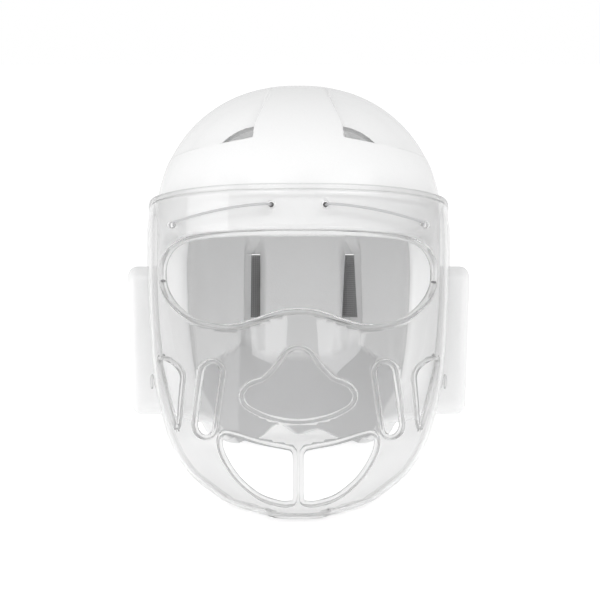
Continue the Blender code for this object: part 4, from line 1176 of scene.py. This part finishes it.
STRAP_HEIGHT = 0.011
STRAP_WIDTH = 0.048
STRAP_THICKNESS = 0.0018
STRAP_HALF_TURN = 0.62
STRAP_CORNER = 0.004
STRAP_LIFT = 0.0005
OVERLAP_WIDTH = 0.045
OVERLAP_THICKNESS = 0.0015
OVERLAP_LIFT = 0.0025
OVERLAP_START, OVERLAP_END = -0.05, 0.56

webbing = new_material("strap_webbing", Base_Color=(0.28, 0.28, 0.285, 1.0), Roughness=0.85)


def weave_group():
    """Plain weave: two crossed rows of ribs, multiplied to a mask."""
    group = bpy.data.node_groups.new("plain_weave", "ShaderNodeTree")
    group.interface.new_socket("Pitch", in_out="INPUT", socket_type="NodeSocketFloat")
    group.interface.new_socket("Mask", in_out="OUTPUT", socket_type="NodeSocketFloat")
    entry, leave = group.nodes.new("NodeGroupInput"), group.nodes.new("NodeGroupOutput")
    place = add_node(group, "TexCoord").outputs["Object"]
    ribs = [add_node(group, "TexWave", {"bands_direction": direction}, Vector=place,
                     Scale=entry.outputs["Pitch"], Distortion=0.4).outputs["Fac"]
            for direction in ("X", "Z")]
    crossed = add_node(group, "Math", {"operation": "MULTIPLY"})
    for rib, socket in zip(ribs, crossed.inputs):
        group.links.new(rib, socket)
    group.links.new(crossed.outputs["Value"], leave.inputs["Mask"])
    return group


plain_weave = weave_group()


def add_weave(material, pitch, dark, light):
    """Give a material the plain weave: colour between two greys and a bump from the same mask."""
    tree = material.node_tree
    shader = tree.nodes["Principled BSDF"]
    weave = add_node(tree, "Group", {"node_tree": plain_weave}, Pitch=pitch)
    shade = add_node(tree, "Mix", {"data_type": "RGBA"}, Factor=weave.outputs["Mask"],
                     A=(*dark, 1.0), B=(*light, 1.0))
    relief = add_node(tree, "Bump", Strength=0.6, Distance=0.0003, Height=weave.outputs["Mask"])
    tree.links.new(shade.outputs["Result"], shader.inputs["Base Color"])
    tree.links.new(relief.outputs["Normal"], shader.inputs["Normal"])


add_weave(webbing, 210.0, (0.43, 0.43, 0.435), (0.67, 0.67, 0.675))


def strap_point(turn, height, lift):
    """Point on the guard's rear surface, lifted off it along the surface's own normal."""
    point = shell_point(turn, height, *outer_form)
    return point + shell_normal(point, *outer_form) * lift[..., None]


def strap_band(low_turn, high_turn, width, inner_lift, thickness):
    """Band with rounded corners and edges: a rounded section carried round the guard's rear."""
    t = np.linspace(0.0, 1.0, 90)
    turns = math.pi + low_turn + (high_turn - low_turn) * t
    place = shell_point(turns, np.full(90, STRAP_HEIGHT), *outer_form)
    run = running_length(place)
    from_end = np.minimum(run, run[-1] - run)
    half = width / 2 - rolled_in(from_end, STRAP_CORNER)
    angle = np.linspace(0.0, 2 * math.pi, 48, endpoint=False)[None]
    up = signed_power(np.sin(angle), 0.35)
    out = signed_power(np.cos(angle), 0.35)
    height = STRAP_HEIGHT + half[:, None] * up
    lift = inner_lift + thickness / 2 * (1 + out)
    rings = strap_point(np.repeat(turns[:, None], 48, 1), height, lift)
    return closed_stack(rings, rings[0].mean(0), rings[-1].mean(0))


strap = add_piece("rear_webbing", *strap_band(
    -STRAP_HALF_TURN, STRAP_HALF_TURN, STRAP_WIDTH, STRAP_LIFT, STRAP_THICKNESS), webbing)
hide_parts("rear_strap")
overlap = add_piece("rear_overlap", *strap_band(
    OVERLAP_START, OVERLAP_END, OVERLAP_WIDTH, OVERLAP_LIFT, OVERLAP_THICKNESS), webbing)
thread = new_material("strap_thread", Base_Color=(0.62, 0.62, 0.63, 1.0), Roughness=0.6)
add_skin(thread, 3000.0, 0.0001, 0.5, 0.7)


def stitch_row(turn, low, high, count, lift):
    """Row of short rounded stitches up the strap at one turn, along its outer face."""
    pieces, start = [], 0
    pitch = (high - low) / count
    t = np.linspace(-0.5, 0.5, 6)
    for middle in low + pitch * (np.arange(count) + 0.5):
        bow = lift + 0.0004 * (1.0 - (2 * t) ** 2)
        path = strap_point(np.full(6, turn), middle + t * pitch * 0.7, bow)
        points, quads, tris = sweep_tube(path, 0.0004, 6)
        pieces.append((points, quads + start, tris + start))
        start += len(points)
    return [np.concatenate(part) for part in zip(*pieces)]


rows = []
shift = 0
# Rows of stitches: turn from the middle of the rear, half height and lift off the guard.
for row_turn, half_height, lift in ((-0.585, 0.021, 0.0024), (-0.545, 0.021, 0.0024),
                                    (-0.02, 0.019, 0.0041), (0.53, 0.019, 0.0041)):
    points, quads, tris = stitch_row(math.pi + row_turn, STRAP_HEIGHT - half_height,
                                     STRAP_HEIGHT + half_height, 14, lift)
    rows.append((points, quads + shift, tris + shift))
    shift += len(points)
stitches = add_piece("strap_stitches", *[np.concatenate(part) for part in zip(*rows)], thread)
for piece in (strap, overlap, stitches):
    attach(piece, "root")
